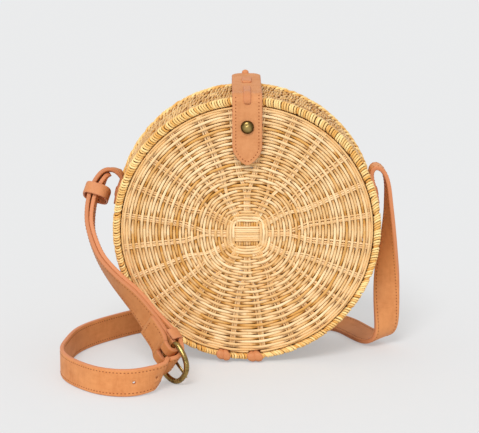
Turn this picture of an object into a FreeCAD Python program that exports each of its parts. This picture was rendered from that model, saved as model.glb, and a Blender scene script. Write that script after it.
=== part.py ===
import FreeCAD, Part
import math
import os

V = FreeCAD.Vector
os.makedirs("parts", exist_ok=True)

# Round body: X to the right, Y away from the front, Z up, floor at Z = 0
BORDER_R = 100.0
BORDER_WIDTH = 6.8
BORDER_DEPTH = 7.6
BORDER_CHAMFER = 2.2
WRAP_GROOVE = 0.7
DRUM_DEPTH = 81.0
WALL_RELIEF = 0.9
WALL_SINK = 1.7
WALL_THICK = 3.0
WALL_ROWS = 24
SIDES = 72
FIT = 0.15

# Woven discs: radial stakes with rows passing over and under them
STAKES = 24
STAKE_HALF_T = 0.9
STAKE_TIP_W = 1.0
STAKE_RIM_W = 3.8
DISC_ROWS = 13
FIRST_ROW_GAP = 4.0
ROW_GAP = 0.9
ROW_T = 1.4
WEAVE_CLEAR = 0.12
RIM_WIDTH = 3.9
RIM_T = 4.2
LID_CLEAR = 0.7
LID_RECESS = 0.2
LID_SINK = 1.0
BACK_SINK = 0.8

# Centre cross of the discs: upright canes under a level band
CANE = 1.5
CANE_PITCH = 1.64
UPRIGHT_CANES = 8
UPRIGHT_LENGTH = 18.0
LEVEL_CANES = 7
LEVEL_LENGTH = 16.0
CROSS_DROP = 3.1

# Stakes of the wall
WALL_STAKE_W = 3.0
WALL_STAKE_T = 1.7

# Leather ties that hinge the lid at the bottom
TIE_T = 1.8
TIE_GAP = 0.1
TIE_IN_GAP = 0.4
TIE_LEFT_ANGLE = -10.5
TIE_LEFT_W = 9.7
TIE_RIGHT_ANGLE = 3.5
TIE_RIGHT_W = 11.4
TIE_NOTCH_CLEAR = 1.6
TIE_SIDE_CLEAR = 0.4

# Closure tab and snap
TAB_W = 22.0
TAB_T = 2.2
TAB_SEAT = 0.25
TAB_STANDOFF = 2.1
TAB_ROOT_DROP = 4.8
TAB_LENGTH = 45.4
TAB_TIP_LENGTH = 14.5
TAB_BOW = 2.4
TAB_CREASE = 0.4
SNAP_DROP = 17.0
SNAP_CAP_R = 4.9
SNAP_CAP_H = 3.2
SNAP_POST_R = 1.4
SNAP_SOCKET_R = 4.4
SNAP_SOCKET_BORE_R = 2.5
SNAP_SOCKET_T = 1.2
SNAP_STUD_R = 2.0
SNAP_STUD_TOP_CLEAR = 0.2
SNAP_FLANGE_R = 3.9
SNAP_FLANGE_T = 0.7
SNAP_WASHER_R = 4.6
SNAP_WASHER_T = 0.8
SNAP_HOLE_CLEAR = 0.25

# Lace on the tab
LACE_W = 5.6
LACE_T = 1.3
LACE_SEAT = 0.12
LACE_KNOT_W = 6.0
LACE_KNOT_H = 3.4
LACE_KNOT_D = 5.0

# Shoulder strap
STRAP_W = 20.0
STRAP_T = 3.1
STRAP_SEAT = 0.35
LAYER_GAP = 0.5
STRAP_END_ANGLE = 8.0
STRAP_LEAVE_ANGLE = 19.0
STRAP_STEP = 5.0
FOLD_LENGTH = 27.0
RUN_TO_BAR = 12.0
BUCKLE_HEIGHT = 29.6
FOLD_HEIGHT = 11.5
LAY = 1.0
TAIL_LIFT = 3.2
TAIL_TOP_GAP = 2.0
TAIL_TOP_RISE = 14.0
TAIL_TOP_LENGTH = 140.0
FLOOR_CLEAR = 0.2

# Where the strap's front bight swings aside
SWING_SPLIT_UP = -4.5
SWING_SPLIT_Y = -29.0
SWING_GAP = 0.4
TAIL_LIFT_LENGTH = 34.0
STITCH_ANGLE = 12.5
STITCH_HALF = 4.4
STITCH_W = 3.0
STITCH_T = 0.8
STITCH_CLEAR = 0.18

# Keepers
KEEPER_T = 1.6
KEEPER_W = 9.0
KEEPER_DOWN = 19.0
KEEPER_ROOM_W = 1.85
KEEPER_ROOM_T = 4.9
KEEPER_SHIFT = 2.6
LOOP_W = 9.0
LOOP_T = 1.5
LOOP_UP = 8.5
LOOP_ROOM = 0.7

# Buckle
BAR_R = 1.6
BAR_CLEAR = 0.35
FRAME_R = 2.0
FRAME_ROOM = 2.2
FRAME_DEPTH = 21.5
PRONG_W = 3.2
PRONG_T = 1.6
PRONG_EYE_T = 1.3
PRONG_RUN_CLEAR = 0.08
PRONG_SLOT_CLEAR = 0.7
PRONG_TIP_PAST = 1.2

# Places that follow from the sizes
FRONT_Y = -DRUM_DEPTH / 2
BACK_Y = DRUM_DEPTH / 2
TIE_OUT_R = BORDER_R + TIE_GAP + TIE_T


def tie_reach(angle, width):
    """How far below the axis a tie's lower corner comes."""
    a = math.radians(abs(angle))
    return TIE_OUT_R * math.cos(a) + width / 2 * math.sin(a)


AXIS_Z = max(
    tie_reach(TIE_LEFT_ANGLE, TIE_LEFT_W), tie_reach(TIE_RIGHT_ANGLE, TIE_RIGHT_W)
)
BACK_R = (AXIS_Z - BACK_SINK) / math.cos(math.pi / SIDES)
WALL_R = BORDER_R - WALL_SINK - WALL_RELIEF
WALL_OUT_R = WALL_R + WALL_RELIEF
WALL_IN_R = WALL_R - WALL_THICK
ROW_LIFT = STAKE_HALF_T + ROW_T / 2 + WEAVE_CLEAR
DISC_HALF_T = ROW_LIFT + ROW_T / 2
LID_R = BORDER_R - BORDER_WIDTH + LID_SINK - LID_CLEAR
LID_Y = FRONT_Y + LID_RECESS + DISC_HALF_T
PANEL_R = BACK_R - BORDER_WIDTH - FIT - 0.15
PANEL_Y = BACK_Y - LID_RECESS - DISC_HALF_T
TAB_BACK_Y = FRONT_Y - TAB_STANDOFF
TAB_FRONT_Y = TAB_BACK_Y - TAB_T
ROOT_Z = AXIS_Z + BORDER_R - TAB_ROOT_DROP
SNAP_Z = ROOT_Z - SNAP_DROP
STRAP_WALL_R = WALL_OUT_R + STRAP_SEAT + STRAP_T / 2
HINGE_Y = LID_Y - DISC_HALF_T
LOW_WIDTH = BORDER_WIDTH - 2 * LID_SINK
HINGE_Z = AXIS_Z - (BORDER_R - LOW_WIDTH - TIE_IN_GAP - TIE_T / 2)


def flat_faces(points):
    """One flat face through the points, or two triangles where they don't lie in one plane."""
    kept = []
    for p in points:
        if all((p - q).Length > 1e-7 for q in kept):
            kept.append(p)
    if len(kept) < 3:
        return []
    normal = (kept[1] - kept[0]).cross(kept[2] - kept[0])
    if len(kept) == 3:
        return [Part.Face(Part.makePolygon(kept + [kept[0]]))]
    if normal.Length > 1e-9:
        normal.normalize()
        if max(abs((p - kept[0]).dot(normal)) for p in kept) < 1e-7:
            return [Part.Face(Part.makePolygon(kept + [kept[0]]))]
    first = [kept[0], kept[1], kept[2], kept[0]]
    second = [kept[0], kept[2], kept[3], kept[0]]
    return [Part.Face(Part.makePolygon(first)), Part.Face(Part.makePolygon(second))]


def skin(sections, closed):
    """A solid whose sides join each section to the next, corner by corner."""
    faces = []
    corners = len(sections[0])
    last = len(sections) if closed else len(sections) - 1
    for k in range(last):
        near = sections[k]
        far = sections[(k + 1) % len(sections)]
        for i in range(corners):
            j = (i + 1) % corners
            faces += flat_faces([near[i], near[j], far[j], far[i]])
    if not closed:
        faces.append(Part.Face(Part.makePolygon(sections[0] + [sections[0][0]])))
        faces.append(Part.Face(Part.makePolygon(sections[-1] + [sections[-1][0]])))
    shell = Part.Shell(faces)
    shell.sewShape()
    solid = Part.Solid(shell)
    if solid.Volume < 0:
        solid.reverse()
    return solid


def around(angle, radius, y):
    """A point at an angle about the drum's axis, where 0 is the right and 90 the top."""
    a = math.radians(angle)
    return V(radius * math.cos(a), y, AXIS_Z + radius * math.sin(a))


def ring(profiles, sink):
    """A ring about a line under the drum's axis, from a profile of (radius, y) points for each of its corners."""
    count = len(profiles)
    sections = []
    for j, profile in enumerate(profiles):
        angle = -90.0 + (j + 0.5) * 360.0 / count
        sections.append([around(angle, r, y) - V(0, 0, sink) for r, y in profile])
    return skin(sections, True)


def prism(outline, along):
    """A straight solid from a flat outline."""
    return Part.Face(Part.makePolygon(outline + [outline[0]])).extrude(along)


def box(origin, axes, low, high):
    """A box between two corners, measured along three axes from an origin."""
    a, b, c = axes
    corner = origin + a * low[0] + b * low[1] + c * low[2]
    u = a * (high[0] - low[0])
    v = b * (high[1] - low[1])
    return prism([corner, corner + u, corner + u + v, corner + v], c * (high[2] - low[2]))


def turned(shape, angle):
    """The shape turned about the drum's axis."""
    copy = shape.copy()
    copy.rotate(V(0, 0, AXIS_Z), V(0, -1, 0), angle)
    return copy


def border(outer_r, face_y, inward, sink, open_sink):
    """A wrapped border: a roll with a groove between groups of wraps, its opening a little low in it."""
    c = BORDER_CHAMFER
    far = face_y + inward * BORDER_DEPTH
    profiles = []
    for j in range(SIDES):
        up = math.sin(math.radians(-90.0 + (j + 0.5) * 360.0 / SIDES))
        inner_r = outer_r - BORDER_WIDTH + open_sink * (1 - up)
        full = [
            (inner_r + c, face_y),
            (outer_r - c, face_y),
            (outer_r, face_y + inward * c),
            (outer_r, far - inward * FIT),
            (outer_r - FIT, far),
            (inner_r + FIT, far),
            (inner_r, far - inward * FIT),
            (inner_r, face_y + inward * c),
        ]
        mid_r = (inner_r + outer_r) / 2
        mid_y = (face_y + far) / 2
        in_r = 1 - 2 * WRAP_GROOVE / BORDER_WIDTH
        in_y = 1 - 2 * WRAP_GROOVE / BORDER_DEPTH
        grooved = [(mid_r + (r - mid_r) * in_r, mid_y + (y - mid_y) * in_y) for r, y in full]
        profiles.append(grooved if j % 3 == 1 else full)
    return ring(profiles, sink)


def woven_wall():
    """The wall's band: rows that stand out and sink in by turns, like twined canes."""
    start = FRONT_Y + BORDER_DEPTH + FIT
    end = BACK_Y - BORDER_DEPTH - FIT
    profiles = []
    for j in range(SIDES):
        profile = []
        for i in range(WALL_ROWS + 1):
            y = start + (end - start) * i / WALL_ROWS
            out = WALL_RELIEF if (i + j) % 2 == 0 else -WALL_RELIEF
            profile.append((WALL_R + out, y))
        profile.append((WALL_IN_R, end))
        profile.append((WALL_IN_R, start))
        profiles.append(profile)
    return ring(profiles, 0)


def stake_angle(j):
    """The angle of a disc's stake, placed so that none runs straight up."""
    return -90.0 + (j + 0.5) * 360.0 / STAKES


def cross_edge(angle):
    """How far the centre cross reaches at an angle."""
    a = math.radians(angle)
    half_x = LEVEL_LENGTH / 2
    half_z = UPRIGHT_LENGTH / 2
    return min(half_x / max(abs(math.cos(a)), 1e-6), half_z / max(abs(math.sin(a)), 1e-6))


def stake_ends(j, rim_inner_r, mid_y, sink, drop):
    """Where a stake starts at the centre cross, which sits a little low, and where it ends at the rim."""
    angle = stake_angle(j)
    a = math.radians(angle)
    out = V(math.cos(a), 0, math.sin(a))
    inner = V(0, mid_y, AXIS_Z - drop) + out * (cross_edge(angle) + 3 * FIT)
    return inner, V(0, mid_y, AXIS_Z - sink) + out * (rim_inner_r - FIT)


def disc_stakes(rim_inner_r, mid_y, sink, drop):
    """Stakes that fan out from the centre cross to the rim, widening outwards."""
    stakes = []
    depth = V(0, 1, 0)
    for j in range(STAKES):
        inner, outer = stake_ends(j, rim_inner_r, mid_y, sink, drop)
        across = (outer - inner).cross(depth)
        across.normalize()
        sections = []
        for p, w in ((inner, STAKE_TIP_W), (outer, STAKE_RIM_W)):
            sections.append(
                [
                    p + across * (w / 2),
                    p + depth * STAKE_HALF_T,
                    p - across * (w / 2),
                    p - depth * STAKE_HALF_T,
                ]
            )
        stakes.append(skin(sections, False))
    return Part.makeCompound(stakes)


def disc_rows(rim_inner_r, mid_y, sink, drop):
    """Rows that pass over one stake and under the next, each row the other way round, squarish near the cross."""
    rows = []
    depth = V(0, 1, 0)
    for i in range(DISC_ROWS):
        sections = []
        for j in range(STAKES):
            inner, outer = stake_ends(j, rim_inner_r, mid_y, sink, drop)
            along = outer - inner
            length = along.Length - FIRST_ROW_GAP - ROW_GAP
            along.normalize()
            r0 = FIRST_ROW_GAP + length * i / DISC_ROWS
            r1 = FIRST_ROW_GAP + length * (i + 1) / DISC_ROWS - ROW_GAP
            lift = depth * (ROW_LIFT if (i + j) % 2 == 0 else -ROW_LIFT)
            near = inner + along * r0 + lift
            far = inner + along * r1 + lift
            half = depth * (ROW_T / 2)
            sections.append([near - half, far - half, far + half, near + half])
        rows.append(skin(sections, True))
    return rows


def disc_rim(outer_r, mid_y, sink):
    """The hoop of paired canes that closes a disc's edge."""
    inner_r = outer_r - RIM_WIDTH
    c = RIM_T / 4
    profile = [
        (inner_r + c, mid_y - RIM_T / 2),
        (outer_r - c, mid_y - RIM_T / 2),
        (outer_r, mid_y - RIM_T / 2 + c),
        (outer_r, mid_y + RIM_T / 2 - c),
        (outer_r - c, mid_y + RIM_T / 2),
        (inner_r + c, mid_y + RIM_T / 2),
        (inner_r, mid_y + RIM_T / 2 - c),
        (inner_r, mid_y - RIM_T / 2 + c),
    ]
    return ring([profile] * SIDES, sink)


def cane_bar(start, along, size):
    """A six-sided cane."""
    length = along.Length
    d = V(along)
    d.normalize()
    side = d.cross(V(0, 1, 0))
    outline = []
    for k in range(6):
        a = math.radians(60 * k)
        outline.append(start + side * (size / 2 * math.cos(a)) + V(0, size / 2 * math.sin(a), 0))
    return prism(outline, d * length)


def centre_cross(mid_y, front, drop):
    """The slath at a disc's centre: upright canes with a band of level canes over them."""
    canes = []
    lay = CANE / 2 + FIT / 2
    for k in range(UPRIGHT_CANES):
        x = (k - (UPRIGHT_CANES - 1) / 2) * LEVEL_LENGTH / UPRIGHT_CANES
        start = V(x, mid_y - front * lay, AXIS_Z - drop - UPRIGHT_LENGTH / 2)
        canes.append(cane_bar(start, V(0, 0, UPRIGHT_LENGTH), CANE))
    for k in range(LEVEL_CANES):
        z = AXIS_Z - drop + (k - (LEVEL_CANES - 1) / 2) * CANE_PITCH
        start = V(-LEVEL_LENGTH / 2, mid_y + front * lay, z)
        canes.append(cane_bar(start, V(LEVEL_LENGTH, 0, 0), CANE))
    return Part.makeCompound(canes)


def wall_stakes():
    """Straight stakes on the inside of the wall."""
    stakes = []
    start = FRONT_Y + BORDER_DEPTH + TIE_GAP + TIE_T + TIE_SIDE_CLEAR
    end = BACK_Y - BORDER_DEPTH - 2 * FIT
    top = WALL_IN_R * math.cos(math.pi / SIDES) - FIT / 2
    for j in range(STAKES):
        low = V(-WALL_STAKE_W / 2, start, AXIS_Z - top)
        one = Part.makeBox(WALL_STAKE_W, end - start, WALL_STAKE_T, low)
        stakes.append(turned(one, (j + 0.5) * 360.0 / STAKES))
    return Part.makeCompound(stakes)


def tie_outline(y0, y1, r0, r1):
    """A flat rectangle under the axis, given as distances from the axis."""
    return [
        V(0, y0, AXIS_Z - r0),
        V(0, y1, AXIS_Z - r0),
        V(0, y1, AXIS_Z - r1),
        V(0, y0, AXIS_Z - r1),
    ]


def slab(width, outline):
    """A slab of a width about X = 0 from an outline in the plane X = 0."""
    moved = [p - V(width / 2, 0, 0) for p in outline]
    return prism(moved, V(width, 0, 0))


TIE_Y0 = FRONT_Y - TIE_GAP
TIE_Y1 = FRONT_Y + BORDER_DEPTH + TIE_GAP
TIE_IN_R = BORDER_R - LOW_WIDTH - TIE_IN_GAP


def tie(angle, width):
    """A leather loop round the border's roll."""
    outer = slab(width, tie_outline(TIE_Y0 - TIE_T, TIE_Y1 + TIE_T, TIE_IN_R - TIE_T, TIE_OUT_R))
    edges = [e for e in outer.Edges if abs(e.Vertexes[0].X - e.Vertexes[1].X) > width / 2]
    outer = outer.makeFillet(TIE_T * 0.8, edges)
    inner = slab(width * 2, tie_outline(TIE_Y0, TIE_Y1, TIE_IN_R, BORDER_R + TIE_GAP))
    return turned(outer.cut(inner), angle)


def tie_room(angle, width):
    """The space that a tie's loop needs in the lid's rim."""
    r0 = TIE_IN_R - TIE_T - TIE_NOTCH_CLEAR
    room = slab(
        width + 2 * TIE_SIDE_CLEAR, tie_outline(FRONT_Y - TIE_T, BACK_Y, r0, TIE_OUT_R)
    )
    return turned(room, angle)


def tie_slot(angle, width):
    """The gap in the wall's weave that a tie's inner leg passes."""
    end = TIE_Y1 + TIE_T + TIE_SIDE_CLEAR
    r0 = TIE_IN_R - TIE_T - TIE_NOTCH_CLEAR
    slot = slab(width + 2 * TIE_SIDE_CLEAR, tie_outline(FRONT_Y, end, r0, TIE_OUT_R))
    return turned(slot, angle)


def smooth_route(points, edges, step):
    """Points along a smooth curve through the given ones, each with the direction of the strap's edge."""
    out = []
    count = len(points)
    for k in range(count - 1):
        p0 = points[k - 1] if k > 0 else points[k] * 2 - points[k + 1]
        p1 = points[k]
        p2 = points[k + 1]
        p3 = points[k + 2] if k + 2 < count else points[k + 1] * 2 - points[k]
        t1 = max((p1 - p0).Length, 1e-6) ** 0.5
        t2 = max((p2 - p1).Length, 1e-6) ** 0.5
        t3 = max((p3 - p2).Length, 1e-6) ** 0.5
        m1 = ((p1 - p0) * (1 / t1) - (p2 - p0) * (1 / (t1 + t2)) + (p2 - p1) * (1 / t2)) * t2
        m2 = ((p2 - p1) * (1 / t2) - (p3 - p1) * (1 / (t2 + t3)) + (p3 - p2) * (1 / t3)) * t2
        parts = max(1, int(math.ceil((p2 - p1).Length / step)))
        for i in range(parts):
            u = i / parts
            h1 = 2 * u**3 - 3 * u**2 + 1
            h2 = u**3 - 2 * u**2 + u
            h3 = -2 * u**3 + 3 * u**2
            h4 = u**3 - u**2
            p = p1 * h1 + m1 * h2 + p2 * h3 + m2 * h4
            s = u * u * (3 - 2 * u)
            out.append((p, edges[k] * (1 - s) + edges[k + 1] * s))
    out.append((points[-1], edges[-1]))
    return out


def frames(route):
    """Each point of a route with its direction, its edge direction and the normal of its face."""
    out = []
    for k, (p, edge) in enumerate(route):
        before = route[max(k - 1, 0)][0]
        after = route[min(k + 1, len(route) - 1)][0]
        t = after - before
        t.normalize()
        w = edge - t * edge.dot(t)
        w.normalize()
        out.append((p, t, w, t.cross(w)))
    return out


def ribbon(track, width, thick):
    """A flat strap along a list of frames."""
    sections = []
    for p, t, w, n in track:
        a = w * (width / 2)
        b = n * (thick / 2)
        sections.append([p + a + b, p - a + b, p - a - b, p + a - b])
    return skin(sections, False)


def on_floor(track):
    """The frames raised where their lower corner would reach under the floor."""
    out = []
    for p, t, w, n in track:
        low = p.z - abs(w.z) * STRAP_W / 2 - abs(n.z) * STRAP_T / 2
        out.append((p + V(0, 0, max(0.0, FLOOR_CLEAR - low)), t, w, n))
    return out


def length_of(track):
    """The length along a list of frames."""
    return sum((track[k + 1][0] - track[k][0]).Length for k in range(len(track) - 1))


# Weave, borders and ties
LID_RIM_IN = LID_R - RIM_WIDTH
PANEL_RIM_IN = PANEL_R - RIM_WIDTH
ties = ((TIE_LEFT_ANGLE, TIE_LEFT_W), (TIE_RIGHT_ANGLE, TIE_RIGHT_W))
nodes = {}
nodes["front_border"] = border(BORDER_R, FRONT_Y, 1, 0, LID_SINK)
nodes["back_border"] = border(BACK_R, BACK_Y, -1, BACK_SINK, 0)
wall = woven_wall()
for angle, width in ties:
    wall = wall.cut(tie_slot(angle, width))
nodes["wall_stakes"] = wall_stakes()
nodes["back_stakes"] = disc_stakes(PANEL_RIM_IN, PANEL_Y, BACK_SINK, BACK_SINK)
nodes["back_rows"] = Part.makeCompound(disc_rows(PANEL_RIM_IN, PANEL_Y, BACK_SINK, BACK_SINK))
nodes["back_rim"] = disc_rim(PANEL_R, PANEL_Y, BACK_SINK)
nodes["back_cross"] = centre_cross(PANEL_Y, 1, BACK_SINK)
nodes["lid_stakes"] = disc_stakes(LID_RIM_IN, LID_Y, LID_SINK, CROSS_DROP)
lid_rim = disc_rim(LID_R, LID_Y, LID_SINK)
for angle, width in ties:
    lid_rim = lid_rim.cut(tie_room(angle, width))
nodes["lid_rim"] = lid_rim
nodes["lid_cross"] = centre_cross(LID_Y, -1, CROSS_DROP)
nodes["hinge_tie_left"] = tie(TIE_LEFT_ANGLE, TIE_LEFT_W)
nodes["hinge_tie_right"] = tie(TIE_RIGHT_ANGLE, TIE_RIGHT_W)

# Snap: a stud on the lid, a socket and a domed cap on the tab
SOCKET_Y = TAB_BACK_Y
LID_FRONT = LID_Y - DISC_HALF_T
LID_BACK = LID_Y + DISC_HALF_T
hole_half = SNAP_POST_R + SNAP_HOLE_CLEAR
lid_axes = (V(1, 0, 0), V(0, 1, 0), V(0, 0, 1))
snap_hole = box(
    V(0, LID_Y, SNAP_Z), lid_axes, (-hole_half, -RIM_T, -hole_half), (hole_half, RIM_T, hole_half)
)
cut_rows = []
for row in disc_rows(LID_RIM_IN, LID_Y, LID_SINK, CROSS_DROP):
    cut_rows.append(row.cut(snap_hole))
nodes["lid_rows"] = Part.makeCompound(cut_rows)


def turned_piece(points):
    """A round piece about the snap's axis from (radius, y) points."""
    outline = [V(r, y, SNAP_Z) for r, y in points]
    face = Part.Face(Part.makePolygon(outline + [outline[0]]))
    return face.revolve(V(0, 0, SNAP_Z), V(0, 1, 0), 360)


flange_back = LID_FRONT - FIT / 3
flange_front = flange_back - SNAP_FLANGE_T
stud_top = TAB_BACK_Y + SNAP_STUD_TOP_CLEAR
washer_y = LID_BACK + FIT / 3
nodes["snap_stud"] = turned_piece(
    [
        (0, washer_y + SNAP_WASHER_T),
        (SNAP_POST_R, washer_y + SNAP_WASHER_T),
        (SNAP_POST_R, flange_back),
        (SNAP_FLANGE_R, flange_back),
        (SNAP_FLANGE_R, flange_front),
        (SNAP_STUD_R * 0.8, flange_front),
        (SNAP_STUD_R, (flange_front + stud_top) / 2),
        (SNAP_STUD_R * 0.8, stud_top),
        (0, stud_top),
    ]
)
nodes["snap_washer"] = turned_piece(
    [
        (SNAP_POST_R + FIT / 2, washer_y),
        (SNAP_WASHER_R, washer_y),
        (SNAP_WASHER_R, washer_y + SNAP_WASHER_T),
        (SNAP_POST_R + FIT / 2, washer_y + SNAP_WASHER_T),
    ]
)
nodes["snap_socket"] = turned_piece(
    [
        (SNAP_SOCKET_BORE_R, SOCKET_Y),
        (SNAP_SOCKET_R, SOCKET_Y),
        (SNAP_SOCKET_R, SOCKET_Y + SNAP_SOCKET_T),
        (SNAP_SOCKET_BORE_R, SOCKET_Y + SNAP_SOCKET_T),
    ]
)
cap_base = TAB_FRONT_Y - FIT / 3
dome = []
for k in range(1, 7):
    a = math.radians(90 * k / 6)
    dome.append((SNAP_CAP_R * math.cos(a), cap_base - 0.8 - (SNAP_CAP_H - 0.8) * math.sin(a)))
dome[-1] = (0, cap_base - SNAP_CAP_H)
nodes["snap_cap"] = turned_piece(
    [(0, TAB_BACK_Y), (SNAP_POST_R, TAB_BACK_Y), (SNAP_POST_R, cap_base), (SNAP_CAP_R, cap_base)]
    + [(SNAP_CAP_R, cap_base - 0.8)]
    + dome
)

# Closure tab: a fixed strap over the drum's top and a flap that hangs in front of the lid
half = TAB_W / 2
sag = BORDER_R - math.sqrt(BORDER_R**2 - half**2)
top_front = AXIS_Z + BORDER_R + TAB_SEAT + TAB_T / 2
top_back = AXIS_Z - BACK_SINK + BACK_R + TAB_SEAT + TAB_T / 2
tab_mid_y = TAB_BACK_Y - TAB_T / 2
tab_points = [
    V(0, BACK_Y + TAB_SEAT + TAB_T / 2 + 0.4, top_back - 6.0),
    V(0, BACK_Y + 0.9, top_back - 0.6 + TAB_BOW * 0.5),
    V(0, BACK_Y - 3.5, top_back + 0.1 + TAB_BOW),
    V(0, BACK_Y - BORDER_DEPTH - 8.0, top_back - 0.3 + TAB_BOW),
    V(0, 0, (top_front + top_back) / 2 - 0.3 + TAB_BOW * 0.6),
    V(0, FRONT_Y + BORDER_DEPTH + 4.0, top_front),
    V(0, FRONT_Y + 3.2, top_front + 0.15),
    V(0, FRONT_Y - 0.6, top_front - 0.8),
    V(0, tab_mid_y + 0.3, ROOT_Z + 3.2),
    V(0, tab_mid_y, ROOT_Z + TAB_CREASE),
]
tab_track = frames(smooth_route(tab_points, [V(1, 0, 0)] * len(tab_points), STRAP_STEP / 2))
tab_track[-1] = (tab_points[-1], V(0, 0, -1), V(1, 0, 0), V(0, -1, 0))
nodes["tab_base"] = ribbon(tab_track, TAB_W, TAB_T)
flap = [V(-half, TAB_BACK_Y, ROOT_Z), V(half, TAB_BACK_Y, ROOT_Z)]
shoulder = ROOT_Z - (TAB_LENGTH - TAB_TIP_LENGTH)
for k in range(13):
    a = math.radians(180 * k / 12)
    x = half * math.copysign(abs(math.cos(a)) ** 1.45, math.cos(a))
    flap.append(V(x, TAB_BACK_Y, shoulder - TAB_TIP_LENGTH * math.sin(a)))
flap_solid = prism(flap, V(0, -TAB_T, 0))
post_hole = Part.makeCylinder(
    SNAP_POST_R + FIT / 2, TAB_T * 3, V(0, TAB_FRONT_Y - TAB_T, SNAP_Z), V(0, 1, 0)
)
nodes["tab_flap"] = flap_solid.cut(post_hole)

# Lace that holds the tab: a long stitch over the front bend, a short one and a knot


def lace_run(y0, y1, width):
    """A flat lace that lies on the tab between two depths."""
    track = []
    for p, t, w, n in tab_track:
        if y0 < p.y < y1 and p.z > ROOT_Z + 2.0:
            lift = TAB_T / 2 + LACE_SEAT + LACE_T / 2
            out = n if n.dot(V(0, -1, 1)) > 0 else n * -1
            track.append((p + out * lift, t, w, n))
    return ribbon(track, width, LACE_T)


nodes["lace_stitch_front"] = lace_run(FRONT_Y * 1.2, FRONT_Y * 0.35, LACE_W)
nodes["lace_stitch_mid"] = lace_run(0.0, BACK_Y * 0.47, LACE_W * 1.3)
knot_z = top_back + TAB_BOW + TAB_T / 2 + 2.5 * LACE_SEAT
knot = Part.makeBox(
    LACE_KNOT_W,
    LACE_KNOT_D,
    LACE_KNOT_H,
    V(-LACE_KNOT_W / 2, BACK_Y - 4.5 - LACE_KNOT_D / 2, knot_z),
)
top_edges = [e for e in knot.Edges if e.CenterOfMass.z > knot_z + 0.1]
nodes["lace_knot"] = knot.makeChamfer(1.3, top_edges)

# Short strap: from the left of the wall, over an arch and down to the buckle
FRONT_EDGE = V(0, -1, 0)


def side_point(side, out, y, up):
    """A point beside the drum: past the border at one side, and above the axis."""
    return V(side * (BORDER_R + out * LAY), y * LAY, AXIS_Z + up * LAY)


def hang_side(out, y, share):
    """A point of the strap that hangs at the right: past the border, at a share of the axis' height."""
    return V(BORDER_R + out * LAY, y * LAY, AXIS_Z * share)


def floor_side(out, y, z):
    """A point of the strap near the floor at the right: past the border, at a height."""
    return V(BORDER_R + out * LAY, y * LAY, z)


def hang_point(x_out, y_ahead, share):
    """A point of the strap that hangs in front at the left, at a share of the way up from the buckle to the axis."""
    z = BUCKLE_HEIGHT + (AXIS_Z - BUCKLE_HEIGHT) * share
    return V(-BORDER_R + x_out * LAY, FRONT_Y - y_ahead * LAY, z)


def low_point(x_out, y_ahead, z):
    """A point of the strap's loop in front at the left: measured from the border, the front face and the floor."""
    return V(-BORDER_R + x_out * LAY, FRONT_Y - y_ahead * LAY, z)


def wall_points(side):
    """Where a strap lies on the wall, from its end to where it leaves."""
    out = []
    for a in (STRAP_END_ANGLE, (STRAP_END_ANGLE + STRAP_LEAVE_ANGLE) / 2, STRAP_LEAVE_ANGLE):
        p = around(a, STRAP_WALL_R, 0)
        out.append(V(side * p.x, 0, p.z))
    return out


short_points = wall_points(-1) + [
    side_point(-1, -3.4, -1, 35.8),
    side_point(-1, 0.3, -2, 37.7),
    side_point(-1, 4.6, -3, 38.2),
    side_point(-1, 9.2, -5, 36.1),
    side_point(-1, 13.0, -7, 32.2),
    side_point(-1, 16.0, -10, 27.2),
    side_point(-1, 18.1, -13, 21.2),
    side_point(-1, 19.3, -17, 14.6),
    side_point(-1, 19.7, -21, 7.8),
    hang_point(-19.2, -14.0, 1.0),
    hang_point(-16.2, -8.5, 0.867),
    hang_point(-9.2, 1.5, 0.682),
    hang_point(2.9, 12.5, 0.501),
    hang_point(16.5, 22.0, 0.335),
    hang_point(30.0, 33.5, 0.126),
    hang_point(37.5, 40.5, 0.0),
]
short_edges = [FRONT_EDGE] * 3 + [
    V(0, -1, 0.06),
    V(0, -0.99, 0.14),
    V(0, -0.97, 0.22),
    V(0, -0.95, 0.3),
    V(0, -0.93, 0.36),
    V(0.03, -0.92, 0.4),
    V(0.04, -0.91, 0.42),
    V(0.02, -0.9, 0.44),
    V(0, -0.88, 0.48),
    V(0, -0.86, 0.51),
    V(-0.03, -0.84, 0.54),
    V(-0.06, -0.82, 0.56),
    V(0.1, -0.74, 0.62),
    V(0.3, -0.6, 0.735),
    V(0.44, -0.485, 0.755),
    V(0.44, -0.485, 0.755),
]
short_track = frames(smooth_route(short_points, short_edges, STRAP_STEP))
end_p, end_t, end_w, end_n = short_track[-1]
BAR_OFF = BAR_R + BAR_CLEAR + STRAP_T / 2
bar_mid = end_p + end_t * RUN_TO_BAR + end_n * BAR_OFF
main_end = len(short_track)
for k in (1, 2):
    short_track.append((end_p + end_t * (RUN_TO_BAR * k / 2), end_t, end_w, end_n))
for k in range(1, 8):
    a = math.radians(180 * k / 8)
    p = bar_mid + end_t * (BAR_OFF * math.sin(a)) - end_n * (BAR_OFF * math.cos(a))
    t = end_t * math.cos(a) + end_n * math.sin(a)
    short_track.append((p, t, end_w, t.cross(end_w)))
back_start = bar_mid + end_n * BAR_OFF
fold_points = [back_start]
left_over = FOLD_LENGTH
close = STRAP_T + LAYER_GAP / 2
near = 4.0
fold_points.append(back_start - end_t * near)
fold_points.append(end_p + end_t * 2.0 + end_n * (close + 0.9))
run = 0.0
walk = main_end - 1
while walk > 1 and run < FOLD_LENGTH - RUN_TO_BAR:
    run += (short_track[walk][0] - short_track[walk - 1][0]).Length
    walk -= 1
    if run > 3.0:
        p, t, w, n = short_track[walk]
        fold_points.append(p + n * close)
fold_edges = [end_w] * len(fold_points)
for k in range(3, len(fold_points)):
    fold_edges[k] = short_track[main_end - 1 - (k - 2)][2]
fold_track = frames(smooth_route(fold_points, fold_edges, STRAP_STEP))
short_solid = ribbon(short_track + fold_track, STRAP_W, STRAP_T)
buckle_axes = (end_w, end_t, end_n)
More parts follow.
